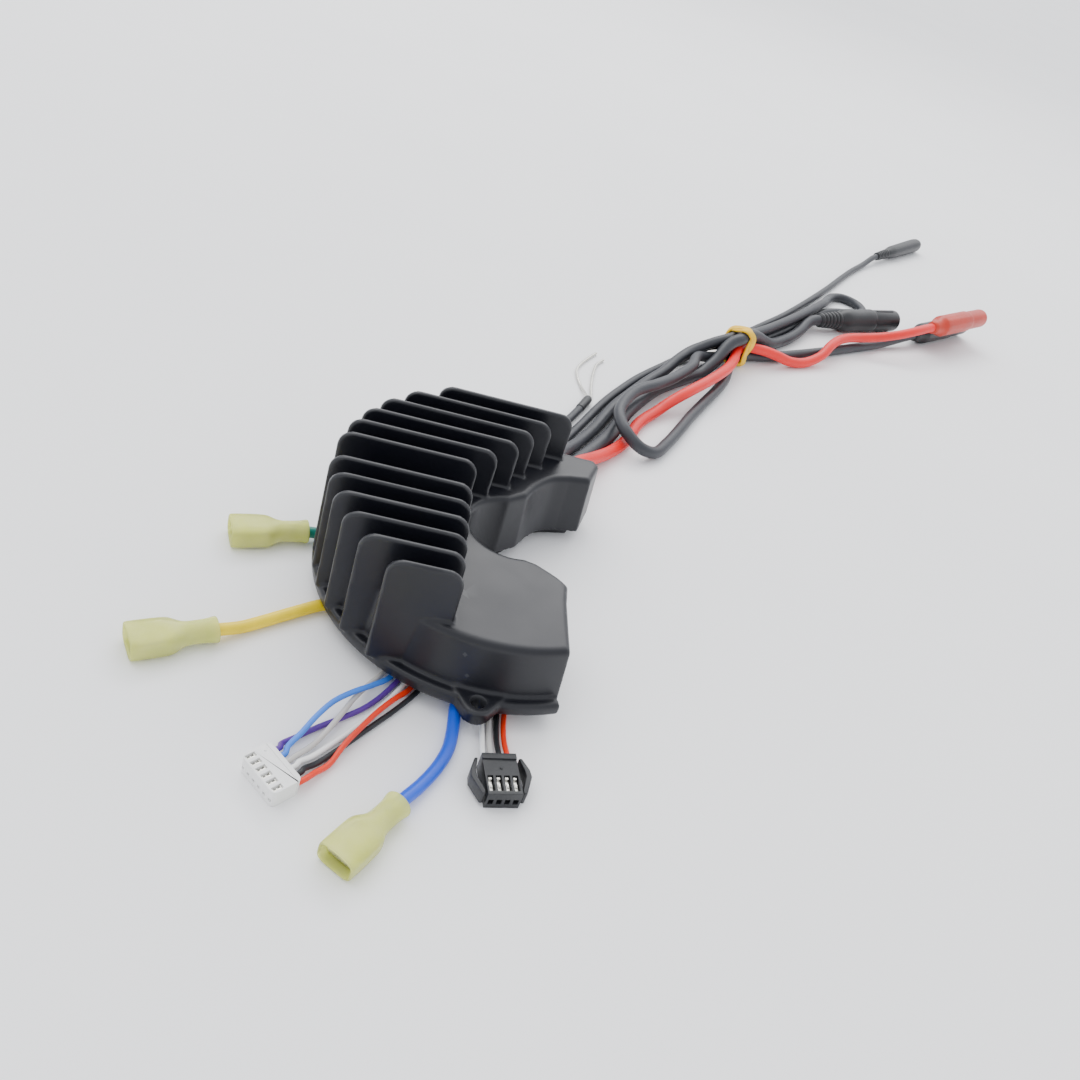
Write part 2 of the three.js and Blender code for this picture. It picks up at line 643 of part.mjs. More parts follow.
lead("battery_lead_black", [
  [17.4, 49.9, 14.2], [17.5, 53.2, 14.1], [18, 57.4, 12.8], [19.7, 64, 10.1], [22.6, 73, 6.4],
  [27.8, 84.5, 3.1], [34.6, 97.6, 2.3], [43.2, 117.6, 2.3], [50.6, 131, 2.3], [58.4, 143.8, 2.6],
  byBand(-46, -7, 3.6), byBand(-35, -8.2, 5.4), byBand(-25, -8.6, 6.6), byBand(-19, -7.4, 7.9),
  byBand(-12, -4.9, 10.1), byBand(-4, -2.4, 11.6), byBand(4, -2.4, 11.6), byBand(12, -2.8, 10),
  byBand(21, -2.3, 8), byBand(32, -1.9, 7.4), [134.1, 230.9, 7.3], [152.2, 254.4, 7.2],
  [158.4, 263.8, 6.7], [163.8, 273.8, 4.7], [168.2, 283, 2.7], [172.6, 289.6, 2.3],
  [179, 292.4, 2.3], [185.4, 289.8, 2.3], [188, 283.6, 2.3], [184.8, 277.4, 2.3], [178, 273.6, 2.3],
  [169.6, 270, 2.3], [161.4, 264.4, 2.3], [152.6, 254.2, 2.3], [134.4, 230.7, 2.3],
  byBand(28, -2.1, 2.3), byBand(20, -2.2, 2.5), byBand(12, -2.3, 3.1), byBand(4, -2.2, 3.7),
  byBand(-4, -2.2, 3.7), byBand(-11, -2.6, 3.9), byBand(-18, -3.8, 4.9), byBand(-25, -4.2, 6.7),
  byBand(-32, -2.2, 8.1), byBand(-39, 0.6, 8.6), [68.4, 142.4, 8.6], [59.6, 131, 9.4],
  [50.6, 121.4, 9.8], [44.8, 110.7, 9.8], [42.4, 101, 9.4], [44.9, 93, 8], [50.8, 89.2, 5.2],
  [57.4, 92.2, 2.7], [63, 101, 2.3], [68.6, 112, 2.3], [74.9, 125.2, 2.3], [81.6, 138, 2.3],
  [91.2, 156.2, 2.5], byBand(-20, 8.8, 2.4), byBand(-12, 5.4, 2.8), byBand(-4, 2.5, 3.6),
  byBand(4, 2.5, 3.6), byBand(12, 5.2, 2.7), byBand(20, 8.6, 2.4), [126.9, 201.6, 2.3],
  [140, 210.4, 2.3], [151.3, 218.3, 2.3], [165, 228.4, 2.3], [178, 238.1, 2.3], [187.5, 245.2, 2.5],
  [196.5, 251.6, 3.8], [205.8, 258.3, 5.2], [209.4, 261.3, 5.3],
], POWER_WIRE, "sheath");
lead("battery_lead_red", [
  [23, 49.9, 13], [23.1, 53.2, 12.9], [23.9, 57.4, 11.9], [26.8, 64, 9.4], [32.8, 74, 5.6],
  [39.6, 84, 3.1], [46.2, 94.6, 2.3], [53.4, 111.6, 2.3], [60.4, 121.4, 3], [66.4, 128.2, 5.2],
  [73.4, 135, 7.6], [84.4, 149, 8.2], byBand(-22, 8.8, 7.8), byBand(-12, 6, 7.6),
  byBand(-4, 2.8, 8.2), byBand(4, 2.8, 8.2), byBand(8, 5, 7.7), byBand(13, 8.4, 7),
  byBand(19, 12.6, 5.4), byBand(26, 16.8, 3), [138.8, 201.4, 2.4], [147.4, 208.6, 4.4],
  [152.6, 216, 7.2], [158, 223.4, 7.6], [164.5, 229.4, 7.6], [171.5, 233.6, 7.6],
  [181.5, 237.2, 8.8], [191.5, 240.8, 11], [201.5, 246.2, 13], [210.2, 253.1, 13.6],
  [213.8, 256.1, 13.6],
], POWER_WIRE, "red");
lead("display_cable", [
  [19.4, 49.9, 8.6], [19.5, 53.2, 8.5], [20.2, 57.4, 7.4], [22.9, 64.5, 5.3], [28.6, 75, 3.2],
  [34.9, 85.6, 2.7], [40.8, 96.6, 2.7], [48.1, 115, 2.7], [55.6, 129.2, 2.7], [63.4, 141.2, 2.7],
  byBand(-37, 0.4, 2.7), byBand(-29, 1.2, 3), byBand(-20, 1.6, 6.3), byBand(-12, 0.8, 10.6),
  byBand(-8, 1.2, 12.5), byBand(-4, 2.3, 13.4), byBand(4, 2.3, 13.4), byBand(8, 2.3, 12.7),
  byBand(13, 2.6, 10.8), byBand(21, 3.2, 7.2), byBand(29, 3.8, 4.2), byBand(38, 3.9, 2.8),
  [134.4, 221.8, 2.8], [141.5, 231.5, 3.5], [146, 239, 4.8], [150, 243.6, 5.6], [153.4, 245.7, 5.7],
], DISPLAY_CABLE, "sheath");
lead("speed_sensor_cable", [
  [13, 49.9, 14], [13, 53.2, 13.9], [13.4, 57.4, 12.6], [14.9, 64, 9.4], [18, 73, 5.8],
  [23.6, 86, 2.2], [30.2, 100, 1.7], [39.6, 120.2, 1.7], [46.8, 133.2, 1.7], [55, 146.4, 1.7],
  byBand(-40, -11.2, 1.7), byBand(-29, -11.4, 1.7), byBand(-20, -10.2, 2.2), byBand(-12, -7.2, 6.2),
  byBand(-8, -5, 7.1), byBand(-4, -3.1, 7.7), byBand(4, -3.1, 7.7), byBand(8, -5, 7),
  byBand(12, -7.2, 5.6), byBand(20, -9, 2.2), byBand(30, -9.6, 1.7), [121, 228, 1.7],
  [137, 248.6, 1.7], [154, 273, 1.7], [173.4, 302.6, 1.7], [184.2, 320.2, 1.7], [195.3, 337.7, 1.7],
  [207.4, 354.6, 2.2], [214.4, 363.9, 3.8], [217.7, 367.7, 4.2],
], THIN_CABLE, "sheath");
lead("light_cable", [
  [14.6, 49.9, 9.2], [14.6, 53.2, 9.1], [14.7, 57.4, 7.6], [15.2, 64, 4.6], [16.4, 73, 2.4],
  [19, 86, 1.7], [24.4, 99, 1.7], [29.6, 110.4, 1.7], [33.4, 119.5, 1.7],
], THIN_CABLE - 0.2, "sheath");
lead("light_conductor_1", [
  [33.1, 120.2, 2.4], [32.6, 124.6, 1.4], [31.4, 130, 0.7], [30.0, 137, 0.7], [30.0, 143, 0.7],
  [32.4, 149.6, 0.7], [38.5, 160.7, 0.7],
], 1.1, "steel");
lead("light_conductor_2", [
  [34.2, 119.9, 1.1], [35.2, 124.6, 0.7], [35.4, 131, 0.7], [36.6, 142.4, 0.7], [38.5, 151.2, 0.7],
  [41.4, 156.4, 0.7],
], 1.1, "steel");

// A moulded or sleeved end piece lying along the floor, from its cable end forwards.
function endPiece(name, profile, look, [x, y, z], turn, lean = 0) {
  const mesh = add(name, turned(profile), look);
  mesh.position.set(x, y, z);
  mesh.rotation.set(0, lean, turn, "ZYX");
  return mesh;
}
const BULLET = [[0, 0], [0, 3.2], [5, 3.6], [8, 5.2], [33, 5.2], [35.5, 4.7], [50, 4.7], [50, 1.7],
  [38, 1.7], [38, 0]];
endPiece("battery_bullet_red", BULLET, "orange", [214.0, 256.3, 13.6], rad(40.4));
endPiece("battery_bullet_black", BULLET, "black", [209.6, 261.5, 5.3], rad(40.4));
const ROUND_CONNECTOR = [[0, 0], [0, 3.3], [12, 4.2], [16, 5.4], [36, 5.6], [37, 5.2], [54, 5.2],
  [54, 0]];
endPiece("display_connector", ROUND_CONNECTOR, "black", [153.7, 245.9, 5.7], rad(29));
const SPEED_PLUG = [[0, 0], [0, 2.1], [14, 2.6], [20, 3.6], [52, 4.1], [57, 3.8], [60, 2.6], [61, 0]];
endPiece("speed_sensor_plug", SPEED_PLUG, "black", [217.9, 367.9, 4.2], rad(48.2));

// The rubber band: a flat ring standing across the bundle.
const BAND = { halfWide: 6.5, halfTall: 8.8, corner: 4.1, thick: 1.1, width: 6, across: 0.18 };

function rubberBand() {
  const { halfWide, halfTall, corner, thick, width } = BAND;
  const outer = rectangle(halfWide, halfTall, corner);
  const inner = rectangle(halfWide - thick, halfTall - thick, corner - thick);
  const upright = new THREE.Matrix4().makeRotationX(Math.PI / 2);
  const settings = { curveSegments: 4, bevelEnabled: false };
  const ring = new THREE.ExtrudeGeometry(outer, { ...settings, depth: width });
  const hole = new THREE.ExtrudeGeometry(inner, { ...settings, depth: width + 2 });
  ring.translate(0, 0, -width / 2);
  hole.translate(0, 0, -width / 2 - 1);
  return solid(ring, upright).subtract(solid(hole, upright));
}
const band = add("rubber_band", rubberBand(), "band");
band.rotation.z = BUNDLE.turn - Math.PI / 2;
band.position.set(...byBand(0, BAND.across, BAND.halfTall + 0.05));

export default root;
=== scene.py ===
"""Looks of the crescent-shaped motor speed controller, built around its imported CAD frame.

Lengths below are in millimetres in the deck frame, whose origin is the middle of the housing's long
arc, on the plane the cover rests on. point() turns them into metres in the part's frame.
"""
import json
import math

import bpy
import numpy as np
from mathutils import Matrix, Vector


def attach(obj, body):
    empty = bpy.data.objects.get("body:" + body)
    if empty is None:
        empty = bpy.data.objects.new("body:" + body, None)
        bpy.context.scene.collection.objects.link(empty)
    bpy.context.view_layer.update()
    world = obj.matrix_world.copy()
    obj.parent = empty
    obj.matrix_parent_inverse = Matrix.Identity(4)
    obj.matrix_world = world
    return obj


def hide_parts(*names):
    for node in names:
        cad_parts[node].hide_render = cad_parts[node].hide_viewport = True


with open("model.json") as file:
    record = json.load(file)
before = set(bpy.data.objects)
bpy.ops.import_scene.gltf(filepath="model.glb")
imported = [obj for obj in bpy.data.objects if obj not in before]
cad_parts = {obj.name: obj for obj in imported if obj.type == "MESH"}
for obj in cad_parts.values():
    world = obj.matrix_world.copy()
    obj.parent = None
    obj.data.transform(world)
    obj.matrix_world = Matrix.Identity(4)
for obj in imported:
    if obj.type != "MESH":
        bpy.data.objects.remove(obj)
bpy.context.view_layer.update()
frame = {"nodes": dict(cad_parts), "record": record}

MM = 0.001
DECK_CENTRE = (9.22, 1.895)  # the deck arc's centre in the part's frame
ROOT = "controller"


def point(x, y, z):
    return Vector((x + DECK_CENTRE[0], y + DECK_CENTRE[1], z)) * MM


def place(x, y, z, turn=0.0):
    """The matrix that puts a piece made in metres at a deck-frame place, turned about +Z."""
    return Matrix.Translation(point(x, y, z)) @ Matrix.Rotation(math.radians(turn), 4, "Z")


# ---- Camera -------------------------------------------------------------------------------------
def add_camera():
    data = bpy.data.cameras.new("camera")
    data.sensor_width = 36.0
    data.lens = 35.07
    data.clip_start = 0.01
    right = Vector((0.961, 0.008, 0.276)).normalized()
    ahead = Vector((0.164, 0.787, -0.595)).normalized()
    up = right.cross(ahead).normalized()
    right = ahead.cross(up)
    turn = Matrix((right, up, -ahead)).transposed().to_4x4()
    camera = bpy.data.objects.new("camera", data)
    bpy.context.scene.collection.objects.link(camera)
    camera.matrix_world = Matrix.Translation(point(-36.96, -224.5, 192.3)) @ turn
    bpy.context.scene.camera = camera


add_camera()


# ---- Materials ----------------------------------------------------------------------------------
class Nodes:
    """A short way to make and join a material's nodes."""

    def __init__(self, name):
        self.material = bpy.data.materials.new(name)
        self.material.use_nodes = True
        self.tree = self.material.node_tree
        self.shader = self.tree.nodes["Principled BSDF"]
        self.coordinates = self.tree.nodes.new("ShaderNodeTexCoord").outputs["Object"]

    def join(self, output, target):
        self.tree.links.new(output, target)

    def noise(self, scale, detail=4.0, rough=0.55, stretch=None):
        node = self.tree.nodes.new("ShaderNodeTexNoise")
        node.inputs["Scale"].default_value = scale
        node.inputs["Detail"].default_value = detail
        node.inputs["Roughness"].default_value = rough
        source = self.coordinates
        if stretch:
            mapping = self.tree.nodes.new("ShaderNodeMapping")
            mapping.inputs["Scale"].default_value = stretch
            self.join(source, mapping.inputs["Vector"])
            source = mapping.outputs["Vector"]
        self.join(source, node.inputs["Vector"])
        return node.outputs["Fac"]

    def spread(self, value, low, high, start=0.3, end=0.7):
        node = self.tree.nodes.new("ShaderNodeMapRange")
        node.inputs["From Min"].default_value = start
        node.inputs["From Max"].default_value = end
        node.inputs["To Min"].default_value = low
        node.inputs["To Max"].default_value = high
        self.join(value, node.inputs["Value"])
        return node.outputs["Result"]

    def mix(self, factor, first, second):
        node = self.tree.nodes.new("ShaderNodeMix")
        node.data_type = "RGBA"
        self.join(factor, node.inputs["Factor"])
        for value, socket in ((first, node.inputs["A"]), (second, node.inputs["B"])):
            if isinstance(value, bpy.types.NodeSocket):
                self.join(value, socket)
            else:
                socket.default_value = (*value, 1.0)
        return node.outputs["Result"]

    def bump(self, height, distance, strength=1.0, under=None):
        node = self.tree.nodes.new("ShaderNodeBump")
        node.inputs["Distance"].default_value = distance
        node.inputs["Strength"].default_value = strength
        self.join(height, node.inputs["Height"])
        if under is not None:
            self.join(under, node.inputs["Normal"])
        return node.outputs["Normal"]


def shade(colour, factor):
    return tuple(min(1.0, c * factor) for c in colour)


def surface(name, colour, rough, grain, depth, metallic=0.0, change=0.12, cloud=90.0):
    """A plain finish: cloudy colour, uneven gloss and a fine grain of `depth` millimetres."""
    made = Nodes(name)
    shader = made.shader
    clouds = made.noise(cloud, 3.0)
    fine = made.noise(grain, 6.0, 0.6)
    tint = made.spread(clouds, 0.0, 1.0)
    base = made.mix(tint, shade(colour, 1 - change), shade(colour, 1 + change))
    made.join(base, shader.inputs["Base Color"])
    made.join(made.spread(fine, rough - 0.06, rough + 0.07), shader.inputs["Roughness"])
    made.join(made.bump(fine, depth * MM, 0.6), shader.inputs["Normal"])
    shader.inputs["Metallic"].default_value = metallic
    return made


def casting_finish():
    """Satin black coating: fine orange peel over soft casting waves, with a painted highlight that
    makes the edges paler.
    """
    made = Nodes("casting_coat")
    shader = made.shader
    peel = made.noise(2600.0, 3.0, 0.5)
    waves = made.noise(140.0, 2.0, 0.5)
    clouds = made.noise(45.0, 4.0)
    geometry = made.tree.nodes.new("ShaderNodeNewGeometry")
    # Painted highlight: edges picked out by pointiness are mixed towards a paler grey, standing in
    # for light caught on the rounded edges.
    painted_edge_highlight = made.spread(geometry.outputs["Pointiness"], 0.0, 1.0, 0.515, 0.57)
    base = made.mix(made.spread(clouds, 0.0, 1.0), (0.0035, 0.004, 0.0075), (0.0055, 0.006, 0.0095))
    made.join(made.mix(painted_edge_highlight, base, (0.03, 0.031, 0.034)), shader.inputs["Base Color"])
    made.join(made.spread(clouds, 0.34, 0.42), shader.inputs["Roughness"])
    soft = made.bump(waves, 0.03 * MM, 0.5)
    made.join(made.bump(peel, 0.012 * MM, 0.55, soft), shader.inputs["Normal"])
    shader.inputs["Specular IOR Level"].default_value = 0.42
    return made.material


def nylon_finish():
    """Glossy, cloudy pale yellow-green nylon that lets light through."""
    made = Nodes("nylon_sleeve")
    shader = made.shader
    clouds = made.noise(220.0, 3.0)
    fine = made.noise(900.0, 3.0)
    tint = made.spread(clouds, 0.0, 1.0)
    made.join(made.mix(tint, (0.8, 0.84, 0.24), (0.88, 0.9, 0.36)), shader.inputs["Base Color"])
    made.join(made.spread(fine, 0.16, 0.26), shader.inputs["Roughness"])
    made.join(made.bump(clouds, 0.02 * MM, 0.3), shader.inputs["Normal"])
    shader.inputs["Transmission Weight"].default_value = 0.55
    shader.inputs["IOR"].default_value = 1.25
    shader.inputs["Subsurface Weight"].default_value = 0.3
    shader.inputs["Subsurface Radius"].default_value = (1.0, 0.95, 0.5)
    shader.inputs["Subsurface Scale"].default_value = 1.2 * MM
    return made.material


def plated_finish(name, colour, rough):
    """Plated metal with fine drawn lines."""
    made = surface(name, colour, rough, 1500.0, 0.01, metallic=1.0, change=0.1)
    lines = made.noise(900.0, 3.0, 0.5, stretch=(0.15, 4.0, 4.0))
    made.join(made.bump(lines, 0.02 * MM, 0.4), made.shader.inputs["Normal"])
    return made.material


def rubber_band_finish():
    made = surface("band_rubber", (0.8, 0.48, 0.0), 0.55, 1400.0, 0.05, change=0.14, cloud=260.0)
    made.shader.inputs["Subsurface Weight"].default_value = 0.15
    made.shader.inputs["Subsurface Scale"].default_value = 1.0 * MM
    return made.material


FINISHES = {
    "casting": casting_finish(),
    "sleeve": nylon_finish(),
    "steel": plated_finish("tin_plate", (0.66, 0.65, 0.6), 0.3),
    "copper": plated_finish("bare_copper", (0.72, 0.47, 0.3), 0.35),
    "band": rubber_band_finish(),
    "plastic": surface("cover_plastic", (0.02, 0.021, 0.024), 0.5, 1600.0, 0.04).material,
    "rubber": surface("outlet_rubber", (0.028, 0.029, 0.031), 0.65, 1100.0, 0.05).material,
    "board": surface("board_mask", (0.015, 0.13, 0.045), 0.35, 700.0, 0.02, change=0.2).material,
    "chip": surface("chip_mould", (0.022, 0.023, 0.025), 0.5, 2600.0, 0.02).material,
    "can": surface("can_metal", (0.58, 0.6, 0.63), 0.3, 1800.0, 0.01, metallic=1.0).material,
    "pad": surface("pad_silicone", (0.3, 0.37, 0.45), 0.8, 1200.0, 0.05).material,
    "white": surface("white_nylon", (0.86, 0.86, 0.845), 0.42, 1500.0, 0.02, change=0.03).material,
    "yellow": surface("yellow_wire", (0.9, 0.66, 0.0), 0.42, 1300.0, 0.02).material,
    "green": surface("green_wire", (0.0, 0.2, 0.16), 0.42, 1300.0, 0.02).material,
    "blue": surface("blue_wire", (0.006, 0.075, 0.62), 0.4, 1300.0, 0.02, change=0.06).material,
    "purple": surface("purple_wire", (0.085, 0.02, 0.26), 0.42, 1500.0, 0.02).material,
    "sky": surface("sky_wire", (0.04, 0.2, 0.75), 0.42, 1500.0, 0.02).material,
    "grey": surface("grey_wire", (0.5, 0.485, 0.465), 0.45, 1500.0, 0.02).material,
    "orange": surface("orange_red", (0.74, 0.028, 0.002), 0.42, 1500.0, 0.03).material,
    "red": surface("red_silicone", (0.74, 0.004, 0.002), 0.45, 1300.0, 0.02, change=0.08).material,
    "sheath": surface("grey_sheath", (0.022, 0.024, 0.03), 0.46, 1400.0, 0.03).material,
    "shrunk_red": surface("shrunk_red", (0.5, 0.022, 0.003), 0.4, 900.0, 0.05).material,
    "black": surface("black_plastic", (0.011, 0.012, 0.014), 0.42, 1700.0, 0.03).material,
}
SLOT_OF = {entry["node"]: entry["material_slot"] for entry in frame["record"]["subparts"]}


def finish(piece, slot, look=None):
    """Gives a piece the finish of its record slot, or another look."""
    piece.data.materials.clear()
    piece.data.materials.append(FINISHES[look or slot])
    return piece


for node, piece in frame["nodes"].items():
    piece.data.materials.clear()
    piece.data.materials.append(FINISHES[SLOT_OF[node]])


# ---- Mesh helpers -------------------------------------------------------------------------------
def piece_from(name, corners, faces, matrix=Matrix.Identity(4)):
    """An object from corners in millimetres, moved by the matrix into the part's frame."""
    mesh = bpy.data.meshes.new(name)
    mesh.from_pydata([tuple(Vector(c) * MM) for c in corners], [], faces)
    mesh.transform(matrix)
    mesh.validate()
    mesh.update()
    mesh.shade_smooth()
    piece = bpy.data.objects.new(name, mesh)
    bpy.context.scene.collection.objects.link(piece)
    return piece


def skin(rings, ends="capped"):
    """Corners and faces that join rings of equal length. Ends are capped, or joined in a loop."""
    count = len(rings[0])
    corners = [c for ring in rings for c in ring]
    spans = len(rings) if ends == "looped" else len(rings) - 1
    faces = []
    for r in range(spans):
        low = r * count
        high = (r + 1) % len(rings) * count
        for k in range(count):
            after = (k + 1) % count
            faces.append((low + k, low + after, high + after, high + k))
    if ends == "capped":
        faces.append(tuple(reversed(range(count))))
        faces.append(tuple(range((len(rings) - 1) * count, len(rings) * count)))
    return corners, faces


def turned(name, profile, matrix, sides=40):
    """A piece turned about its own +X axis, from [along, radius] pairs off the axis."""
    angles = [2 * math.pi * k / sides for k in range(sides)]
    rings = [[(along, r * math.cos(a), r * math.sin(a)) for a in angles] for along, r in profile]
    return piece_from(name, *skin(rings), matrix)


def squircle(x, half_wide, half_tall, power, sides=40):
    """A ring across +X, round at power 2 and squarer above it."""
    ring = []
    for k in range(sides):
        a = 2 * math.pi * k / sides
        c, s = math.cos(a), math.sin(a)
        y = half_wide * math.copysign(abs(c) ** (2 / power), c)
        z = half_tall * math.copysign(abs(s) ** (2 / power), s)
        ring.append((x, y, z))
    return ring


def apply_all(piece):
    """Replaces a piece's mesh by what its modifiers make of it."""
    bpy.context.view_layer.update()
    shape = piece.evaluated_get(bpy.context.evaluated_depsgraph_get())
    mesh = bpy.data.meshes.new_from_object(shape)
    piece.modifiers.clear()
    old = piece.data
    piece.data = mesh
    bpy.data.meshes.remove(old)
    return piece


def rounded(piece, width, segments=2, angle=35):
    modifier = piece.modifiers.new("round", "BEVEL")
    modifier.width = width * MM
    modifier.segments = segments
    modifier.limit_method = "ANGLE"
    modifier.angle_limit = math.radians(angle)
    return apply_all(piece)


def softened(node, width, segments=2, body=ROOT):
    """Stands for a CAD node with the same shape, its edges rounded by `width` millimetres."""
    mesh = frame["nodes"][node].data.copy()
    piece = bpy.data.objects.new(f"{node}_soft", mesh)
    bpy.context.scene.collection.objects.link(piece)
    weld = piece.modifiers.new("weld", "WELD")
    weld.merge_threshold = 0.002 * MM
    flat = piece.modifiers.new("flat", "DECIMATE")
    flat.decimate_type = "DISSOLVE"
    flat.angle_limit = math.radians(0.5)
    apply_all(piece)
    rounded(piece, width, segments)
    piece.data.shade_smooth()
    keep_sharp(piece)
    finish(piece, SLOT_OF[node])
    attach(piece, body)
    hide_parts(node)


def keep_sharp(piece, angle=40):
    """Marks edges steeper than `angle` as sharp, so that flat faces stay flat."""
    piece.data.set_sharp_from_angle(angle=math.radians(angle))


# ---- Cords --------------------------------------------------------------------------------------
def smooth_route(points, step=0.9):
    """Centripetal Catmull-Rom through the points, sampled about every `step` millimetres."""
    route = [Vector(p) for p in points]
    held = [2 * route[0] - route[1], *route, 2 * route[-1] - route[-2]]
    samples = [route[0]]
    for k in range(1, len(held) - 2):
        p0, p1, p2, p3 = held[k - 1 : k + 3]
        t0 = 0.0
        t1 = t0 + max((p1 - p0).length, 1e-6) ** 0.5
        t2 = t1 + max((p2 - p1).length, 1e-6) ** 0.5
        t3 = t2 + max((p3 - p2).length, 1e-6) ** 0.5
        count = max(2, round((p2 - p1).length / step))
        for n in range(1, count + 1):
            t = t1 + (t2 - t1) * n / count
            a1 = p0 * ((t1 - t) / (t1 - t0)) + p1 * ((t - t0) / (t1 - t0))
            a2 = p1 * ((t2 - t) / (t2 - t1)) + p2 * ((t - t1) / (t2 - t1))
            a3 = p2 * ((t3 - t) / (t3 - t2)) + p3 * ((t - t2) / (t3 - t2))
            b1 = a1 * ((t2 - t) / (t2 - t0)) + a2 * ((t - t0) / (t2 - t0))
            b2 = a2 * ((t3 - t) / (t3 - t1)) + a3 * ((t - t1) / (t3 - t1))
            samples.append(b1 * ((t2 - t) / (t2 - t1)) + b2 * ((t - t1) / (t2 - t1)))
    return samples


def lead(node, points, diameter):
    """A lead as a curve, in place of its CAD tube. Gives it and its length in metres."""
    samples = [point(*p) for p in smooth_route(points)]
    curve = bpy.data.curves.new(f"{node}_lead", "CURVE")
    curve.dimensions = "3D"
    spline = curve.splines.new("POLY")
    spline.points.add(len(samples) - 1)
    for held, sample in zip(spline.points, samples):
        held.co = (*sample, 1.0)
    spline.use_smooth = True
    curve.bevel_depth = diameter / 2 * MM
    curve.bevel_resolution = 5 if diameter > 2 else 3
    curve.use_fill_caps = True
    piece = bpy.data.objects.new(f"{node}_lead", curve)
    bpy.context.scene.collection.objects.link(piece)
    finish(piece, SLOT_OF[node])
    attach(piece, ROOT)
    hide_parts(node)
    length = sum((b - a).length for a, b in zip(samples, samples[1:]))
    return piece, length


def free_cord(node, points, diameter, pieces):
    """A lead drawn as lead() draws it; the pieces argument is not used."""
    piece, length = lead(node, points, diameter)


PHASE_WIRE = 3.2
POWER_WIRE = 4.4
SIGNAL_WIRE = 1.4
DISPLAY_CABLE = 5.2
THIN_CABLE = 3.2
LIGHT_CABLE = 3.0
LIGHT_CONDUCTOR = 1.1
SLEEVE_AXIS = 3.2  # height of a phase sleeve's middle


# ---- Housing ------------------------------------------------------------------------------------
DECK_RADIUS = 43.0
DECK_HEIGHT = 22.7
EDGE_ROUND = 1.7  # rounding between the deck and the wall
WALL_DRAFT = 1.5
RIM_LOW, RIM_HIGH, RIM_RADIUS = 4.0, 7.8, 49.0
FIN_TOP, FIN_CORNER = 37.5, 4.4
FIN_TIP, FIN_FOOT = 1.4, 4.2
FIN_PITCH, FIN_SPLIT, FIRST_FIN = 7.0, 11.3, 42.5
FIN_ENDS = [16.2, 9.7, 4.6, 0.3, -5.6, -11.0] + [-11.4] * 6
WALL, CEILING = 2.8, 19.5
SCREW_PLACES = [(12.4, -20.4), (6.0, -36.2), (-17.6, 2.8), (16.2, 39.6)]
EAR_ANGLES = (-91.2, 118)
EAR_REACH = 49.4
EAR_HIGH, EAR_HOLE = 8.2, 1.65
FOOT_LOW = 3.6
RIM_ROUND = 1.2
RECESS_X, RECESS_Y, RECESS_RADIUS = 2.4, 2.8, 13.9
POST_RADIUS, PILOT_RADIUS = 2.9, 1.3  # screw posts and the holes in them
OUTLET_LOW, OUTLET_HIGH = (10.6, 40, 6), (26.0, 55, 17.6)  # corners of the cable window
ARM_EDGE = [
    (4.8, 20.2, -0.75, 0.66),
    (8.0, 26.2, -0.82, 0.57),
    (12.8, 31.6, -0.6, 0.8),
    (18.6, 34.3, -0.3, 0.95),
]
VOXEL = 0.4
HOUSING_FACES = 190000


def arc(x, y, radius, first, last, count):
    angles = [math.radians(first + (last - first) * k / count) for k in range(count + 1)]
    return [(x + radius * math.cos(a), y + radius * math.sin(a)) for a in angles]


def spline(points, per_span=8):
    """A curve through flat points with the same number of steps in every span."""
    held = [np.array(p, float) for p in points]
    held = [2 * held[0] - held[1], *held, 2 * held[-1] - held[-2]]
    made = []
    for k in range(1, len(held) - 2):
        a, b, c, d = held[k - 1 : k + 3]
        for n in range(per_span):
            t = n / per_span
            square = (2 * a - 5 * b + 4 * c - d) * t**2
            cube = (3 * b - 3 * c + d - a) * t**3
            made.append(0.5 * (2 * b + (c - a) * t + square + cube))
    return [tuple(p) for p in made] + [tuple(points[-1])]


def deck_outline(inset, corner=True):
    """The crescent's outline, drawn in by `inset`: arc, front block, recess, arm and outlet end."""
    points = arc(0, 0, DECK_RADIUS - inset, 98, 293 - 0.6 * inset, 120)
    points += [(16.1 - inset, -29.5), (15.9 - inset, -22.5), (16.2 - inset, -17.0 - 0.5 * inset)]
    if corner:
        points += [(15.1, -15.3 - inset), (13.0, -13.9 - inset), (8.8, -11.4 - inset)]
    points += arc(RECESS_X, RECESS_Y, RECESS_RADIUS + inset, -76, -263, 60)
    points += spline([(x + inset * dx, y + inset * dy) for x, y, dx, dy in ARM_EDGE])
    points += [(24.3 - 0.7 * inset, 35.8 + inset), (26.9 - inset, 43.0 - 0.4 * inset)]
    points += [(25.6 - 0.8 * inset, 44.6 - inset), (8.0, 44.6 - inset)]
    return points


def stack(levels):
    """A solid from flat outlines, each with its height."""
    return skin([[(x, y, z) for x, y in outline] for outline, z in levels])


def quarter(radius, steps=6):
    """Pairs of (inwards, upwards) along a quarter round, from upright to flat."""
    angles = [math.pi / 2 * k / steps for k in range(steps + 1)]
    return [(radius * (1 - math.cos(a)), radius * math.sin(a)) for a in angles]


def body_solid():
    top = DECK_HEIGHT - EDGE_ROUND
    levels = [(deck_outline(-EDGE_ROUND - WALL_DRAFT), RIM_LOW)]
    for inwards, up in quarter(EDGE_ROUND):
        levels.append((deck_outline(inwards - EDGE_ROUND), top + up))
    return stack(levels)


def rim_solid():
    def strip(inwards):
        return arc(0, 0, RIM_RADIUS - inwards, 75, 294, 140) + arc(0, 0, 34, 294, 82, 140)

    rise = quarter(RIM_ROUND)
    levels = [(strip(inwards), RIM_LOW + RIM_ROUND - up) for inwards, up in reversed(rise)]
    levels += [(strip(inwards), RIM_HIGH - RIM_ROUND + up) for inwards, up in rise]
    return stack(levels)


def turned_outline(points, angle):
    c, s = math.cos(math.radians(angle)), math.sin(math.radians(angle))
    return [(x * c - y * s, x * s + y * c) for x, y in points]


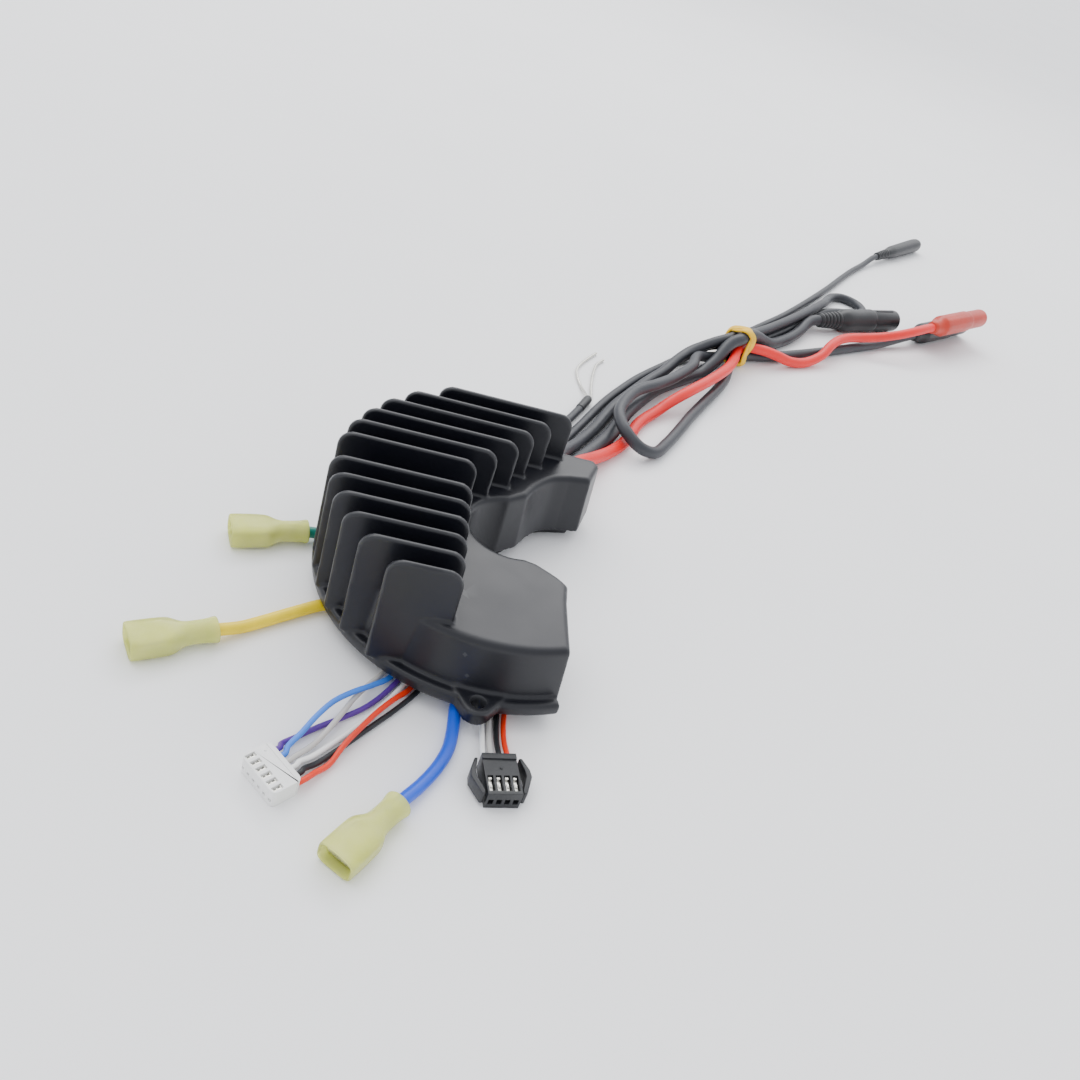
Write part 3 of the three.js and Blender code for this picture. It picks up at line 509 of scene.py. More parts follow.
def ear_solid(angle):
    tip = arc(EAR_REACH, 0, 4.0, -62, 62, 20)
    inner = arc(EAR_REACH, 0, 3.5, -62, 62, 20)
    ear = turned_outline([(42, -9.5), *tip, (42, 9.5)], angle)
    top = turned_outline([(42, -9.0), *inner, (42, 9.0)], angle)
    return stack([(ear, RIM_LOW), (ear, EAR_HIGH - 0.5), (top, EAR_HIGH)])


def foot_solid(angle):
    foot = turned_outline([(43.4, -1.55), (47.4, -1.55), (47.4, 1.55), (43.4, 1.55)], angle)
    return stack([(foot, FOOT_LOW), (foot, RIM_LOW + 0.5)])


def fin_solid(k):
    """One fin: its side outline, as thick as the taper makes it at each height."""
    y = FIRST_FIN - k * FIN_PITCH - (0 if k < 6 else FIN_SPLIT - FIN_PITCH)
    start = -math.sqrt(RIM_RADIUS**2 - y**2)
    end = FIN_ENDS[k]
    foot_end = 10 if k == 0 else -20 if k < 6 else -13
    centre = FIN_TOP - FIN_CORNER
    side = [(start, RIM_HIGH - 1), (foot_end, RIM_HIGH - 1)]
    side += [(foot_end, DECK_HEIGHT - 1), (end, DECK_HEIGHT - 1)]
    side += arc(end - FIN_CORNER, centre, FIN_CORNER, 0, 90, 10)
    side += arc(start + FIN_CORNER, centre, FIN_CORNER, 90, 180, 10)
    rings = []
    for way in (-0.5, 0.5):
        ring = []
        for x, z in side:
            share = (z - RIM_HIGH + 2) / (FIN_TOP + 1 - RIM_HIGH + 2)
            ring.append((x, y + way * (FIN_FOOT + (FIN_TIP - FIN_FOOT) * share), z))
        rings.append(ring)
    return skin(rings)


def post_solid(x, y, radius, low, high, sides=48):
    circle = arc(x, y, radius, 0, 360 - 360 / sides, sides - 1)
    return stack([(circle, low), (circle, high)])


def block_solid(low, high):
    (x0, y0, z0), (x1, y1, z1) = low, high
    base = [(x0, y0), (x1, y0), (x1, y1), (x0, y1)]
    return stack([(base, z0), (base, z1)])


def gathered(solids):
    """One list of corners and one of faces from several solids."""
    corners, faces = [], []
    for part_corners, part_faces in solids:
        shift = len(corners)
        corners += part_corners
        faces += [tuple(k + shift for k in face) for face in part_faces]
    return corners, faces


def raw_piece(name, solids):
    """An object with millimetres as its unit, for shaping before it goes into the frame."""
    piece = piece_from(name, *gathered(solids))
    piece.data.transform(Matrix.Scale(1 / MM, 4))
    return piece


def combine(piece, other, operation):
    """Joins another object to a piece or takes it away, and deletes the other one."""
    modifier = piece.modifiers.new("combine", "BOOLEAN")
    modifier.operation = operation
    modifier.solver = "MANIFOLD"
    modifier.object = other
    apply_all(piece)
    bpy.data.objects.remove(other)


def subtract(piece, solids):
    combine(piece, raw_piece("cutter", solids), "DIFFERENCE")


def hollow_room():
    """The room inside the casting, without its screw posts."""
    outline = deck_outline(WALL, corner=False)
    room = raw_piece("room", [stack([(outline, -1), (outline, CEILING)])])
    subtract(room, [post_solid(x, y, POST_RADIUS, -3, CEILING + 2) for x, y in SCREW_PLACES])
    return room


def housing():
    solids = [body_solid(), rim_solid()]
    solids += [ear_solid(angle) for angle in EAR_ANGLES]
    solids += [fin_solid(k) for k in range(len(FIN_ENDS))]
    piece = raw_piece("housing_casting", solids)
    remesh = piece.modifiers.new("remesh", "REMESH")
    remesh.mode = "VOXEL"
    remesh.voxel_size = VOXEL
    smooth = piece.modifiers.new("smooth", "SMOOTH")
    smooth.factor = 0.5
    smooth.iterations = 5
    apply_all(piece)
    combine(piece, hollow_room(), "DIFFERENCE")
    subtract(piece, [block_solid((-60, -60, -20), (60, 60, RIM_LOW))])
    feet = raw_piece("feet", [foot_solid(angle) for angle in EAR_ANGLES])
    combine(piece, feet, "UNION")
    holes = [post_solid(x, y, PILOT_RADIUS, 3, 13, 24) for x, y in SCREW_PLACES]
    holes.append(block_solid(OUTLET_LOW, OUTLET_HIGH))
    for angle in EAR_ANGLES:
        (x, y), = turned_outline([(EAR_REACH, 0)], angle)
        rings = [(EAR_HOLE, 3), (EAR_HOLE, 7.5), (2.5, 8.6)]
        holes.append(stack([(arc(x, y, r, 0, 348.75, 31), z) for r, z in rings]))
    subtract(piece, holes)
    slim = piece.modifiers.new("slim", "DECIMATE")
    slim.ratio = min(1.0, HOUSING_FACES / (2 * len(piece.data.polygons)))
    apply_all(piece)
    piece.data.transform(place(0, 0, 0) @ Matrix.Scale(MM, 4))
    piece.data.shade_smooth()
    keep_sharp(piece, 50)
    finish(piece, "casting")
    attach(piece, ROOT)
    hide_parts("heatsink_housing")


housing()


# ---- Cover, screws, grommet and terminals, from the CAD with softened edges ----------------------
softened("bottom_cover", 0.35)
softened("cable_grommet", 0.8, 4)
for number in range(1, 5):
    softened(f"cover_screw_{number}", 0.15)


def shown(piece, slot, body=ROOT, stands_for=(), look=None):
    """Gives a piece its finish and body, and what it stands for."""
    finish(piece, slot, look)
    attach(piece, body)
    if stands_for:
        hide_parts(*stands_for)
    return piece


# ---- Phase leads --------------------------------------------------------------------------------
PHASES = {
    "green": {
        "route": [(-39.6, 8.0, 1.9), (-43.2, 7.7, 1.9), (-47.0, 6.9, 2.1), (-50.0, 6.0, 2.8)],
        "rear": (-51.5, 5.5),
        "turn": 198.9,
    },
    "yellow": {
        "route": [
            (-37.0, -18.1, 1.9), (-40.4, -19.6, 1.9), (-43.9, -21.6, 1.9), (-47.9, -24.6, 1.8),
            (-52.1, -27.9, 1.7), (-56.4, -31.4, 1.7), (-60.6, -34.9, 2.0), (-64.6, -37.7, 2.8),
        ],
        "rear": (-65.4, -38.3),
        "turn": 207.9,
    },
    "blue": {
        "route": [
            (-5.0, -41.0, 1.9), (-5.3, -44.6, 1.9), (-5.5, -49.5, 1.8), (-5.6, -54.5, 1.7),
            (-6.2, -60, 1.7), (-8.4, -66.2, 1.7), (-11.8, -72.4, 2.0), (-15.2, -77.6, 2.8),
        ],
        "rear": (-16.0, -79.0),
        "turn": 236.5,
    },
}
# Outside of a terminal sleeve: along, half width, half height, squareness.
SLEEVE_OUTSIDE = [
    (0.0, 3.35, 3.1, 2.0), (0.5, 3.5, 3.15, 2.0), (1.4, 3.3, 3.05, 2.0), (2.6, 3.0, 2.95, 2.0),
    (5.0, 2.95, 2.9, 2.0), (7.2, 3.0, 2.85, 2.0), (8.6, 3.35, 2.85, 2.3), (9.8, 4.1, 2.95, 2.8),
    (11.0, 4.65, 3.05, 3.4), (12.4, 4.8, 3.1, 3.8), (16.0, 4.8, 3.15, 4.0), (20.4, 4.8, 3.15, 4.0),
    (20.9, 4.65, 3.0, 4.0),
]
SLEEVE_INSIDE = [
    (21.0, 4.3, 2.65, 4.0), (20.4, 4.05, 2.4, 4.0), (16.0, 3.95, 2.3, 4.0), (12.6, 3.9, 2.2, 3.6),
    (11.0, 3.3, 2.1, 2.8), (9.4, 2.2, 2.0, 2.1), (5.0, 2.05, 2.05, 2.0), (1.4, 2.2, 2.2, 2.0),
    (0.2, 2.8, 2.8, 2.0),
]


def sleeve(colour, matrix):
    rings = [squircle(*row) for row in SLEEVE_OUTSIDE + SLEEVE_INSIDE]
    piece = piece_from(f"sleeve_{colour}", *skin(rings, "looped"), matrix)
    smooth_out(piece, 2)
    return shown(piece, "sleeve", stands_for=[f"phase_sleeve_{colour}"])


def smooth_out(piece, levels):
    modifier = piece.modifiers.new("round", "SUBSURF")
    modifier.levels = levels
    modifier.render_levels = levels
    return apply_all(piece)


def receptacle(colour, matrix):
    """The plated terminal: a flat box with its edges curled to a seam on top, and two crimps."""
    box = [
        (10.4, 2.2, 1.3, 4.0), (11.2, 3.5, 1.6, 5.0), (18.9, 3.5, 1.6, 5.0), (19.0, 3.35, 1.45, 5.0),
    ]
    inner = [(18.9, 3.15, 0.75, 6.0), (11.4, 3.1, 0.7, 6.0)]
    shell = skin([squircle(*row, sides=48) for row in box + inner])
    tail_rows = [
        (0.9, 1.7), (1.3, 1.95), (2.6, 1.95), (3.2, 1.6), (4.2, 1.5), (4.6, 1.75), (7.2, 1.75),
        (7.8, 1.5), (10.6, 1.5),
    ]
    tail = skin([squircle(x, r, r * 0.93, 2.2, sides=48) for x, r in tail_rows])
    piece = piece_from(f"receptacle_{colour}", *gathered([shell, tail]), matrix)
    keep_sharp(piece, 50)
    return shown(piece, "steel", stands_for=[f"phase_terminal_{colour}"])


for colour, phase in PHASES.items():
    x, y = phase["rear"]
    turn = phase["turn"]
    ahead = (math.cos(math.radians(turn)), math.sin(math.radians(turn)))
    spot = place(x, y, SLEEVE_AXIS, turn)
    pieces = [sleeve(colour, spot), receptacle(colour, spot)]
    route = phase["route"] + [
        (x + 1.5 * ahead[0], y + 1.5 * ahead[1], 3.1),
        (x + 7 * ahead[0], y + 7 * ahead[1], SLEEVE_AXIS),
    ]
    if colour == "green":  # the shortest lead, drawn with lead() alone; too short to be declared as a free cord
        lead("phase_wire_green", route, PHASE_WIRE)
    else:
        free_cord(f"phase_wire_{colour}", route, PHASE_WIRE, pieces)


# ---- Plugs --------------------------------------------------------------------------------------
def plate_outline(half_x, half_y, radius, steps=6):
    x, y = half_x - radius, half_y - radius
    corners = []
    for cx, cy, first in ((x, y, 0), (-x, y, 90), (-x, -y, 180), (x, -y, 270)):
        corners += arc(cx, cy, radius, first, first + 90, steps)
    return corners


def cut_block(name, base, cutters, matrix, width):
    """A block with pockets cut into it and its edges rounded, moved into the frame."""
    piece = raw_piece(name, base)
    subtract(piece, cutters)
    piece.data.transform(matrix @ Matrix.Scale(MM, 4))
    rounded(piece, width, 2, 40)
    piece.data.shade_smooth()
    keep_sharp(piece, 40)
    return piece


def sheet_piece(name, blocks, matrix, slot, width=0.06, body=ROOT):
    """Small metal or moulded parts made of blocks, with rounded edges."""
    piece = piece_from(name, *gathered([block_solid(low, high) for low, high in blocks]), matrix)
    rounded(piece, width, 2)
    return shown(piece, slot, body)


SIX_SPOT = (-44.4, -77.0)
SIX_TURN = 225.6
SIX_PLACE = place(*SIX_SPOT, 0, SIX_TURN)
SIX_HALF = (3.7, 6.15)
SIX_TALL = 4.8
PIN_PITCH = 2.0


def six_way():
    """The white motor-sensor plug: six windows on top, a seam near its rear, round corners."""
    base = [stack([(plate_outline(*SIX_HALF, 1.3), 0), (plate_outline(*SIX_HALF, 1.3), SIX_TALL)])]
    cutters = []
    contacts = []
    for k in range(6):
        y = (k - 2.5) * PIN_PITCH
        cutters.append(block_solid((0.8, y - 0.62, SIX_TALL - 1.5), (3.3, y + 0.62, SIX_TALL + 1)))
        cutters.append(block_solid((2.2, y - 0.45, 1.2), (5, y + 0.45, 2.1)))
        cutters.append(post_along(-5, -2.2, y, 2.4, 0.78))
        contacts.append(((0.82, y + 0.1, 3.2), (3.25, y + 0.6, 4.45)))
        contacts.append(((0.82, y - 0.55, 3.2), (1.2, y + 0.2, 4.35)))
        contacts.append(((1.85, y - 0.35, 3.2), (2.25, y + 0.2, 4.25)))
        contacts.append(((2.85, y - 0.55, 3.2), (3.25, y + 0.2, 4.35)))
    for y in (-1, 1):
        low, high = sorted((y * (SIX_HALF[1] - 0.22), y * (SIX_HALF[1] + 1)))
        cutters.append(block_solid((-2.62, low, 0.6), (-2.38, high, SIX_TALL + 1)))
    cutters.append(block_solid((-2.62, -7, SIX_TALL - 0.2), (-2.38, 7, SIX_TALL + 1)))
    piece = cut_block("plug_six_way", base, cutters, SIX_PLACE, 0.1)
    shown(piece, "white", stands_for=["sensor_plug_white"])
    dot_profile = [(SIX_TALL - 0.2, 0.32), (SIX_TALL + 0.12, 0.3), (SIX_TALL + 0.18, 0.2)]
    dot = shown(turned_up("plug_six_dot", dot_profile, -1.3, -4.6, SIX_PLACE), "white")
    metal = sheet_piece("plug_six_contacts", contacts, SIX_PLACE, "steel")
    return [piece, dot, metal]


def post_along(start, end, y, z, radius, sides=20):
    """A round post along +X."""
    rings = []
    for x in (start, end):
        angles = [2 * math.pi * k / sides for k in range(sides)]
        rings.append([(x, y + radius * math.cos(a), z + radius * math.sin(a)) for a in angles])
    return skin(rings)


def turned_up(name, profile, x, y, matrix, sides=28):
    """A piece turned about an upright axis, from [height, radius] pairs."""
    rings = []
    for z, radius in profile:
        rings.append([(px, py, z) for px, py in arc(x, y, radius, 0, 360 - 360 / sides, sides - 1)])
    return piece_from(name, *skin(rings), matrix)


SIX_ROUTES = {
    "purple": [
        (-18.6, -37.0, 1.2), (-20.5, -41.5, 1.2), (-23.4, -46.6, 0.9), (-27.0, -51.6, 0.9),
        (-31.9, -56.2, 0.9), (-36.9, -60.4, 0.9), (-41.0, -64.4, 1.0), (-44.0, -68.0, 1.8),
    ],
    "sky": [
        (-20.3, -36.2, 1.2), (-22.6, -41.2, 1.5), (-26.4, -46.0, 2.9), (-30.6, -50.2, 3.9),
        (-34.6, -54.6, 4.2), (-37.6, -59.6, 3.9), (-40.2, -65.0, 3.2), (-42.4, -69.2, 2.6),
    ],
    "grey": [
        (-22.0, -35.4, 1.2), (-24.9, -40.8, 1.2), (-28.0, -46.2, 1.6), (-30.2, -51.2, 2.4),
        (-32.2, -56.4, 2.5), (-34.6, -61.6, 1.8), (-37.4, -66.8, 1.5), (-40.4, -71.0, 2.2),
    ],
    "white": [
        (-16.9, -37.8, 1.2), (-19.0, -42.6, 1.2), (-22.2, -48.6, 0.9), (-25.8, -54.4, 0.9),
        (-29.6, -60.0, 0.9), (-33.6, -65.4, 0.9), (-37.0, -69.8, 1.4), (-39.2, -72.3, 2.2),
    ],
    "black": [
        (-13.6, -39.4, 1.2), (-15.6, -44.2, 1.2), (-19.6, -50.2, 0.9), (-24.4, -56.6, 0.9),
        (-28.6, -62.2, 0.9), (-32.4, -67.2, 0.9), (-35.6, -71.2, 1.2), (-37.8, -73.8, 2.2),
    ],
    "orange": [
        (-15.3, -38.6, 1.2), (-17.2, -43.4, 1.3), (-20.6, -48.9, 2.8), (-24.0, -54.0, 3.0),
        (-27.2, -59.8, 3.0), (-30.2, -65.4, 2.6), (-32.6, -70.6, 1.2), (-35.4, -74.2, 1.8),
    ],
}


def rear_place(x, y, turn, back, offset, height):
    """A place behind a plug whose middle is at x, y."""
    c, s = math.cos(math.radians(turn)), math.sin(math.radians(turn))
    return (x - back * c - offset * s, y - back * s + offset * c, height)


six_pieces = six_way()
for k, (colour, route) in enumerate(SIX_ROUTES.items()):
    offset = (k - 2.5) * PIN_PITCH
    before = rear_place(*SIX_SPOT, SIX_TURN, SIX_HALF[0] + 2.2, offset, 2.4)
    end = rear_place(*SIX_SPOT, SIX_TURN, SIX_HALF[0] - 1.2, offset, 2.4)
    free_cord(f"sensor_wire_{colour}", [*route, before, end], SIGNAL_WIRE, six_pieces)

FOUR_SPOT = (6.4, -67.2)
FOUR_TURN = -78.5
FOUR_PLACE = place(*FOUR_SPOT, 0, FOUR_TURN)
FOUR_HALF = (5.7, 4.2)
FOUR_TALL = 5.6


def four_way():
    """The black signal plug: a lip across its rear, four windows with contacts, four sockets."""
    x, y = FOUR_HALF
    base = [block_solid((-x, -y, 0), (x, y, FOUR_TALL - 0.45))]
    piece = raw_piece("plug_four_way", base)
    lip = raw_piece("lip", [block_solid((-x, -y, 0.01), (-x + 1.6, y, FOUR_TALL))])
    combine(piece, lip, "UNION")
    cutters = []
    contacts = []
    for k in range(4):
        c = (k - 1.5) * PIN_PITCH
        window = (0.4, c - 0.68, FOUR_TALL - 2.0), (4.7, c + 0.68, FOUR_TALL + 1)
        cutters.append(block_solid(*window))
        cutters.append(block_solid((3.4, c - 0.62, 1.4), (x + 1, c + 0.62, 3.0)))
        cutters.append(post_along(-x - 1, -x + 1.6, c, 2.8, 0.8))
        contacts.append(((0.5, c - 0.45, FOUR_TALL - 2.1), (4.5, c + 0.45, FOUR_TALL - 1.35)))
        contacts.append(((0.6, c - 0.4, FOUR_TALL - 1.5), (1.3, c + 0.4, FOUR_TALL - 0.85)))
        contacts.append(((2.3, c - 0.25, FOUR_TALL - 1.5), (3.4, c + 0.25, FOUR_TALL - 1.05)))
    subtract(piece, cutters)
    piece.data.transform(FOUR_PLACE @ Matrix.Scale(MM, 4))
    rounded(piece, 0.14, 3, 40)
    piece.data.shade_smooth()
    keep_sharp(piece, 40)
    shown(piece, "black", stands_for=["signal_plug_black"])
    nub = turned_up("plug_four_nub", [(4.9, 0.35), (5.3, 0.34), (5.4, 0.2)], -1.6, 0, FOUR_PLACE)
    shown(nub, "black")
    sheet_piece("plug_four_contacts", contacts, FOUR_PLACE, "steel")


four_way()
softened("latch_arm_left", 0.22, 3, "latch_left")
softened("latch_arm_right", 0.22, 3, "latch_right")

FOUR_ROUTES = {
    "white": [(1.4, -40.6, 1.2), (1.5, -45, 1.2), (1.5, -49.5, 1.1), (1.8, -54.5, 1.5)],
    "grey": [(3.2, -40.6, 1.2), (3.3, -45, 1.2), (3.3, -49.5, 1.1), (3.5, -54.5, 1.5)],
    "black": [(5, -40.6, 1.2), (5.1, -45, 1.2), (5.2, -49.5, 1.1), (5.4, -54.5, 1.5)],
    "orange": [(6.8, -40.6, 1.2), (7, -45, 1.2), (7, -49.5, 1.1), (7.3, -54.5, 1.5)],
}
for k, (colour, route) in enumerate(FOUR_ROUTES.items()):
    offset = (k - 1.5) * PIN_PITCH
    before = rear_place(*FOUR_SPOT, FOUR_TURN, FOUR_HALF[0] + 2.4, offset, 2.7)
    end = rear_place(*FOUR_SPOT, FOUR_TURN, FOUR_HALF[0] - 1.0, offset, 2.8)
    lead(f"signal_wire_{colour}", [*route, before, end], SIGNAL_WIRE)


# ---- Bundle of bike leads -----------------------------------------------------------------------
BAND_PLACE = (100.8, 186.9)
BUNDLE_TURN = 51.4  # the way the bundle runs at the band, in degrees from +X


def by_band(along, across, z):
    """A place near the band: how far on along the bundle, how far to its right, and its height."""
    c, s = math.cos(math.radians(BUNDLE_TURN)), math.sin(math.radians(BUNDLE_TURN))
    return (BAND_PLACE[0] + along * c + across * s, BAND_PLACE[1] + along * s - across * c, z)


BLACK_LEAD = [
    (17.4, 49.9, 14.2), (17.5, 53.2, 14.1), (18, 57.4, 12.8), (19.7, 64, 10.1), (22.6, 73, 6.4),
    (27.8, 84.5, 3.1), (34.6, 97.6, 2.3), (43.2, 117.6, 2.3), (50.6, 131, 2.3), (58.4, 143.8, 2.6),
    by_band(-46, -7, 3.6), by_band(-35, -8.2, 5.4), by_band(-25, -8.6, 6.6),
    by_band(-19, -7.4, 7.9), by_band(-12, -4.9, 10.1), by_band(-4, -2.4, 11.6),
    by_band(4, -2.4, 11.6), by_band(12, -2.8, 10), by_band(21, -2.3, 8), by_band(32, -1.9, 7.4),
    (134.1, 230.9, 7.3), (152.2, 254.4, 7.2), (158.4, 263.8, 6.7), (163.8, 273.8, 4.7),
    (168.2, 283, 2.7), (172.6, 289.6, 2.3), (179, 292.4, 2.3), (185.4, 289.8, 2.3),
    (188, 283.6, 2.3), (184.8, 277.4, 2.3), (178, 273.6, 2.3), (169.6, 270, 2.3),
    (161.4, 264.4, 2.3), (152.6, 254.2, 2.3), (134.4, 230.7, 2.3), by_band(28, -2.1, 2.3),
    by_band(20, -2.2, 2.5), by_band(12, -2.3, 3.1), by_band(4, -2.2, 3.7), by_band(-4, -2.2, 3.7),
    by_band(-11, -2.6, 3.9), by_band(-18, -3.8, 4.9), by_band(-25, -4.2, 6.7),
    by_band(-32, -2.2, 8.1), by_band(-39, 0.6, 8.6), (68.4, 142.4, 8.6), (59.6, 131, 9.4),
    (50.6, 121.4, 9.8), (44.8, 110.7, 9.8), (42.4, 101, 9.4), (44.9, 93, 8), (50.8, 89.2, 5.2),
    (57.4, 92.2, 2.7), (63, 101, 2.3), (68.6, 112, 2.3), (74.9, 125.2, 2.3), (81.6, 138, 2.3),
    (91.2, 156.2, 2.5), by_band(-20, 8.8, 2.4), by_band(-12, 5.4, 2.8), by_band(-4, 2.5, 3.6),
    by_band(4, 2.5, 3.6), by_band(12, 5.2, 2.7), by_band(20, 8.6, 2.4), (126.9, 201.6, 2.3),
    (140, 210.4, 2.3), (151.3, 218.3, 2.3), (165, 228.4, 2.3), (178, 238.1, 2.3),
    (187.5, 245.2, 2.5), (196.5, 251.6, 3.8), (205.8, 258.3, 5.2), (209.4, 261.3, 5.3),
]
RED_LEAD = [
    (23, 49.9, 13), (23.1, 53.2, 12.9), (23.9, 57.4, 11.9), (26.8, 64, 9.4), (32.8, 74, 5.6),
    (39.6, 84, 3.1), (46.2, 94.6, 2.3), (53.4, 111.6, 2.3), (60.4, 121.4, 3), (66.4, 128.2, 5.2),
    (73.4, 135, 7.6), (84.4, 149, 8.2), by_band(-22, 8.8, 7.8), by_band(-12, 6, 7.6),
    by_band(-4, 2.8, 8.2), by_band(4, 2.8, 8.2), by_band(8, 5, 7.7), by_band(13, 8.4, 7),
    by_band(19, 12.6, 5.4), by_band(26, 16.8, 3), (138.8, 201.4, 2.4), (147.4, 208.6, 4.4),
    (152.6, 216, 7.2), (158, 223.4, 7.6), (164.5, 229.4, 7.6), (171.5, 233.6, 7.6),
    (181.5, 237.2, 8.8), (191.5, 240.8, 11), (201.5, 246.2, 13), (210.2, 253.1, 13.6),
    (213.8, 256.1, 13.6),
]
DISPLAY_LEAD = [
    (19.4, 49.9, 8.6), (19.5, 53.2, 8.5), (20.2, 57.4, 7.4), (22.9, 64.5, 5.3), (28.6, 75, 3.2),
    (34.9, 85.6, 2.7), (40.8, 96.6, 2.7), (48.1, 115, 2.7), (55.6, 129.2, 2.7), (63.4, 141.2, 2.7),
    by_band(-37, 0.4, 2.7), by_band(-29, 1.2, 3), by_band(-20, 1.6, 6.3), by_band(-12, 0.8, 10.6),
    by_band(-8, 1.2, 12.5), by_band(-4, 2.3, 13.4), by_band(4, 2.3, 13.4), by_band(8, 2.3, 12.7),
    by_band(13, 2.6, 10.8), by_band(21, 3.2, 7.2), by_band(29, 3.8, 4.2), by_band(38, 3.9, 2.8),
    (134.4, 221.8, 2.8), (141.5, 231.5, 3.5), (146, 239, 4.8), (150, 243.6, 5.6),
    (153.4, 245.7, 5.7),
]
SPEED_LEAD = [
    (13, 49.9, 14), (13, 53.2, 13.9), (13.4, 57.4, 12.6), (14.9, 64, 9.4), (18, 73, 5.8),
    (23.6, 86, 2.2), (30.2, 100, 1.7), (39.6, 120.2, 1.7), (46.8, 133.2, 1.7), (55, 146.4, 1.7),
    by_band(-40, -11.2, 1.7), by_band(-29, -11.4, 1.7), by_band(-20, -10.2, 2.2),
    by_band(-12, -7.2, 6.2), by_band(-8, -5, 7.1), by_band(-4, -3.1, 7.7), by_band(4, -3.1, 7.7),
    by_band(8, -5, 7), by_band(12, -7.2, 5.6), by_band(20, -9, 2.2), by_band(30, -9.6, 1.7),
    (121, 228, 1.7), (137, 248.6, 1.7), (154, 273, 1.7), (173.4, 302.6, 1.7), (184.2, 320.2, 1.7),
    (195.3, 337.7, 1.7), (207.4, 354.6, 2.2), (214.4, 363.9, 3.8), (217.7, 367.7, 4.2),
]
LIGHT_LEAD = [
    (14.6, 49.9, 9.2), (14.6, 53.2, 9.1), (14.7, 57.4, 7.6), (15.2, 64, 4.6), (16.4, 73, 2.4),
    (19, 86, 1.7), (24.4, 99, 1.7), (29.6, 110.4, 1.7), (33.4, 119.5, 1.7),
]
LIGHT_CONDUCTORS = [
    [
        (33.1, 120.2, 2.4), (32.6, 124.6, 1.4), (31.4, 130, 0.7), (30.0, 137, 0.7),
        (30.0, 143, 0.7), (32.4, 149.6, 0.7), (38.5, 160.7, 0.7),
    ],
    [
        (34.2, 119.9, 1.1), (35.2, 124.6, 0.7), (35.4, 131, 0.7), (36.6, 142.4, 0.7),
        (38.5, 151.2, 0.7), (41.4, 156.4, 0.7),
    ],
]


def collar(name, x, z, radius):
    """A rubber collar where a lead leaves the grommet."""
    profile = [(-1.0, radius + 1.1), (0.5, radius + 1.1), (0.9, radius + 0.9), (2.2, radius + 0.35),
               (2.5, radius + 0.15), (2.5, radius - 0.1)]
    matrix = place(x, 49.6, z, 90)
    return shown(turned(name, profile, matrix), "rubber")


for name, (x, _, z), diameter in (
    ("collar_black", BLACK_LEAD[0], POWER_WIRE),
    ("collar_red", RED_LEAD[0], POWER_WIRE),
    ("collar_display", DISPLAY_LEAD[0], DISPLAY_CABLE),
    ("collar_speed", SPEED_LEAD[0], THIN_CABLE),
    ("collar_light", LIGHT_LEAD[0], LIGHT_CABLE),
):
    collar(name, x, z, diameter / 2)

BULLET_PROFILE = [
    (0, 2.35), (0.4, 3.0), (2.0, 3.25), (5.0, 3.6), (6.6, 4.3), (7.6, 5.0), (8.6, 5.2), (12, 5.15),
    (18, 5.2), (26, 5.15), (32.4, 5.2), (33.2, 5.05), (34.4, 4.75), (36, 4.7), (48.8, 4.7),
    (49.6, 4.55), (50, 4.2), (49.9, 3.6), (49.2, 3.35), (38.2, 3.3), (38, 1.2),
]
SOCKET_PROFILE = [
    (37.4, 1.0), (37.5, 3.0), (47.6, 3.0), (47.9, 2.8), (47.9, 2.2), (47.4, 2.0), (40.2, 2.0),
    (40, 0.6),
]


def bullet(name, slot, look, matrix, node):
    """A heat-shrunk bullet connector with faint ridges along it and a brass socket in its nose."""
    sides = 72
    rings = []
    for along, radius in BULLET_PROFILE:
        ring = []
        ridged = 0.05 if 8 < along < 33 else 0.0
        for k in range(sides):
            a = 2 * math.pi * k / sides
            r = radius + ridged * math.cos(12 * a)
            ring.append((along, r * math.cos(a), r * math.sin(a)))
        rings.append(ring)
    skin_piece = piece_from(name, *skin(rings), matrix)
    keep_sharp(skin_piece, 50)
    shown(skin_piece, slot, stands_for=[node], look=look)
    socket = turned(f"{name}_socket", SOCKET_PROFILE, matrix)
    keep_sharp(socket, 50)
    shown(socket, "copper")
    return [skin_piece, socket]


def ribbed(start, end, low, high, ribs):
    """Profile pairs of a ribbed strain relief, from `start` to `end` along the axis."""
    pairs = []
    step = (end - start) / ribs
    for k in range(ribs):
        x = start + k * step
        share = k / (ribs - 1)
        top = low + (high - low) * share
        pairs += [(x, top - 0.75), (x + 0.1 * step, top - 0.1), (x + 0.2 * step, top)]
        pairs += [(x + 0.55 * step, top), (x + 0.65 * step, top - 0.1), (x + 0.75 * step, top - 0.75)]
    return pairs


def display_end(matrix):
    profile = [(0, 2.6)] + ribbed(0.3, 13.5, 3.5, 4.4, 6)
    profile += [
        (14.0, 4.2), (15.2, 4.9), (16.6, 5.4), (18.5, 5.62), (22, 5.5), (27, 5.3), (32, 5.5),
        (35.2, 5.65), (36.2, 5.5), (36.6, 5.1), (37.4, 5.05), (38.2, 5.25), (52.6, 5.25),
        (53.6, 5.05), (54, 4.6), (53.8, 4.2), (52.6, 4.05), (51.4, 4.0), (51.3, 1.0),
    ]
    piece = turned("display_plug", profile, matrix, 56)
    keep_sharp(piece, 50)
    shown(piece, "black", stands_for=["display_connector"])
    rib = piece_from("display_key", *block_solid((38.4, -0.6, 4.9), (50.5, 0.6, 5.6)), matrix)
    rounded(rib, 0.25, 3)
    shown(rib, "black")
    pins = [post_along(46, 51.8, 2.2 * math.cos(a), 2.2 * math.sin(a), 0.45, 16)
            for a in (0.3, 1.55, 2.8, 4.05, 5.3)]
    pin_piece = piece_from("display_pins", *gathered(pins), matrix)
    keep_sharp(pin_piece, 50)
    shown(pin_piece, "copper")
    return [piece, rib, pin_piece]


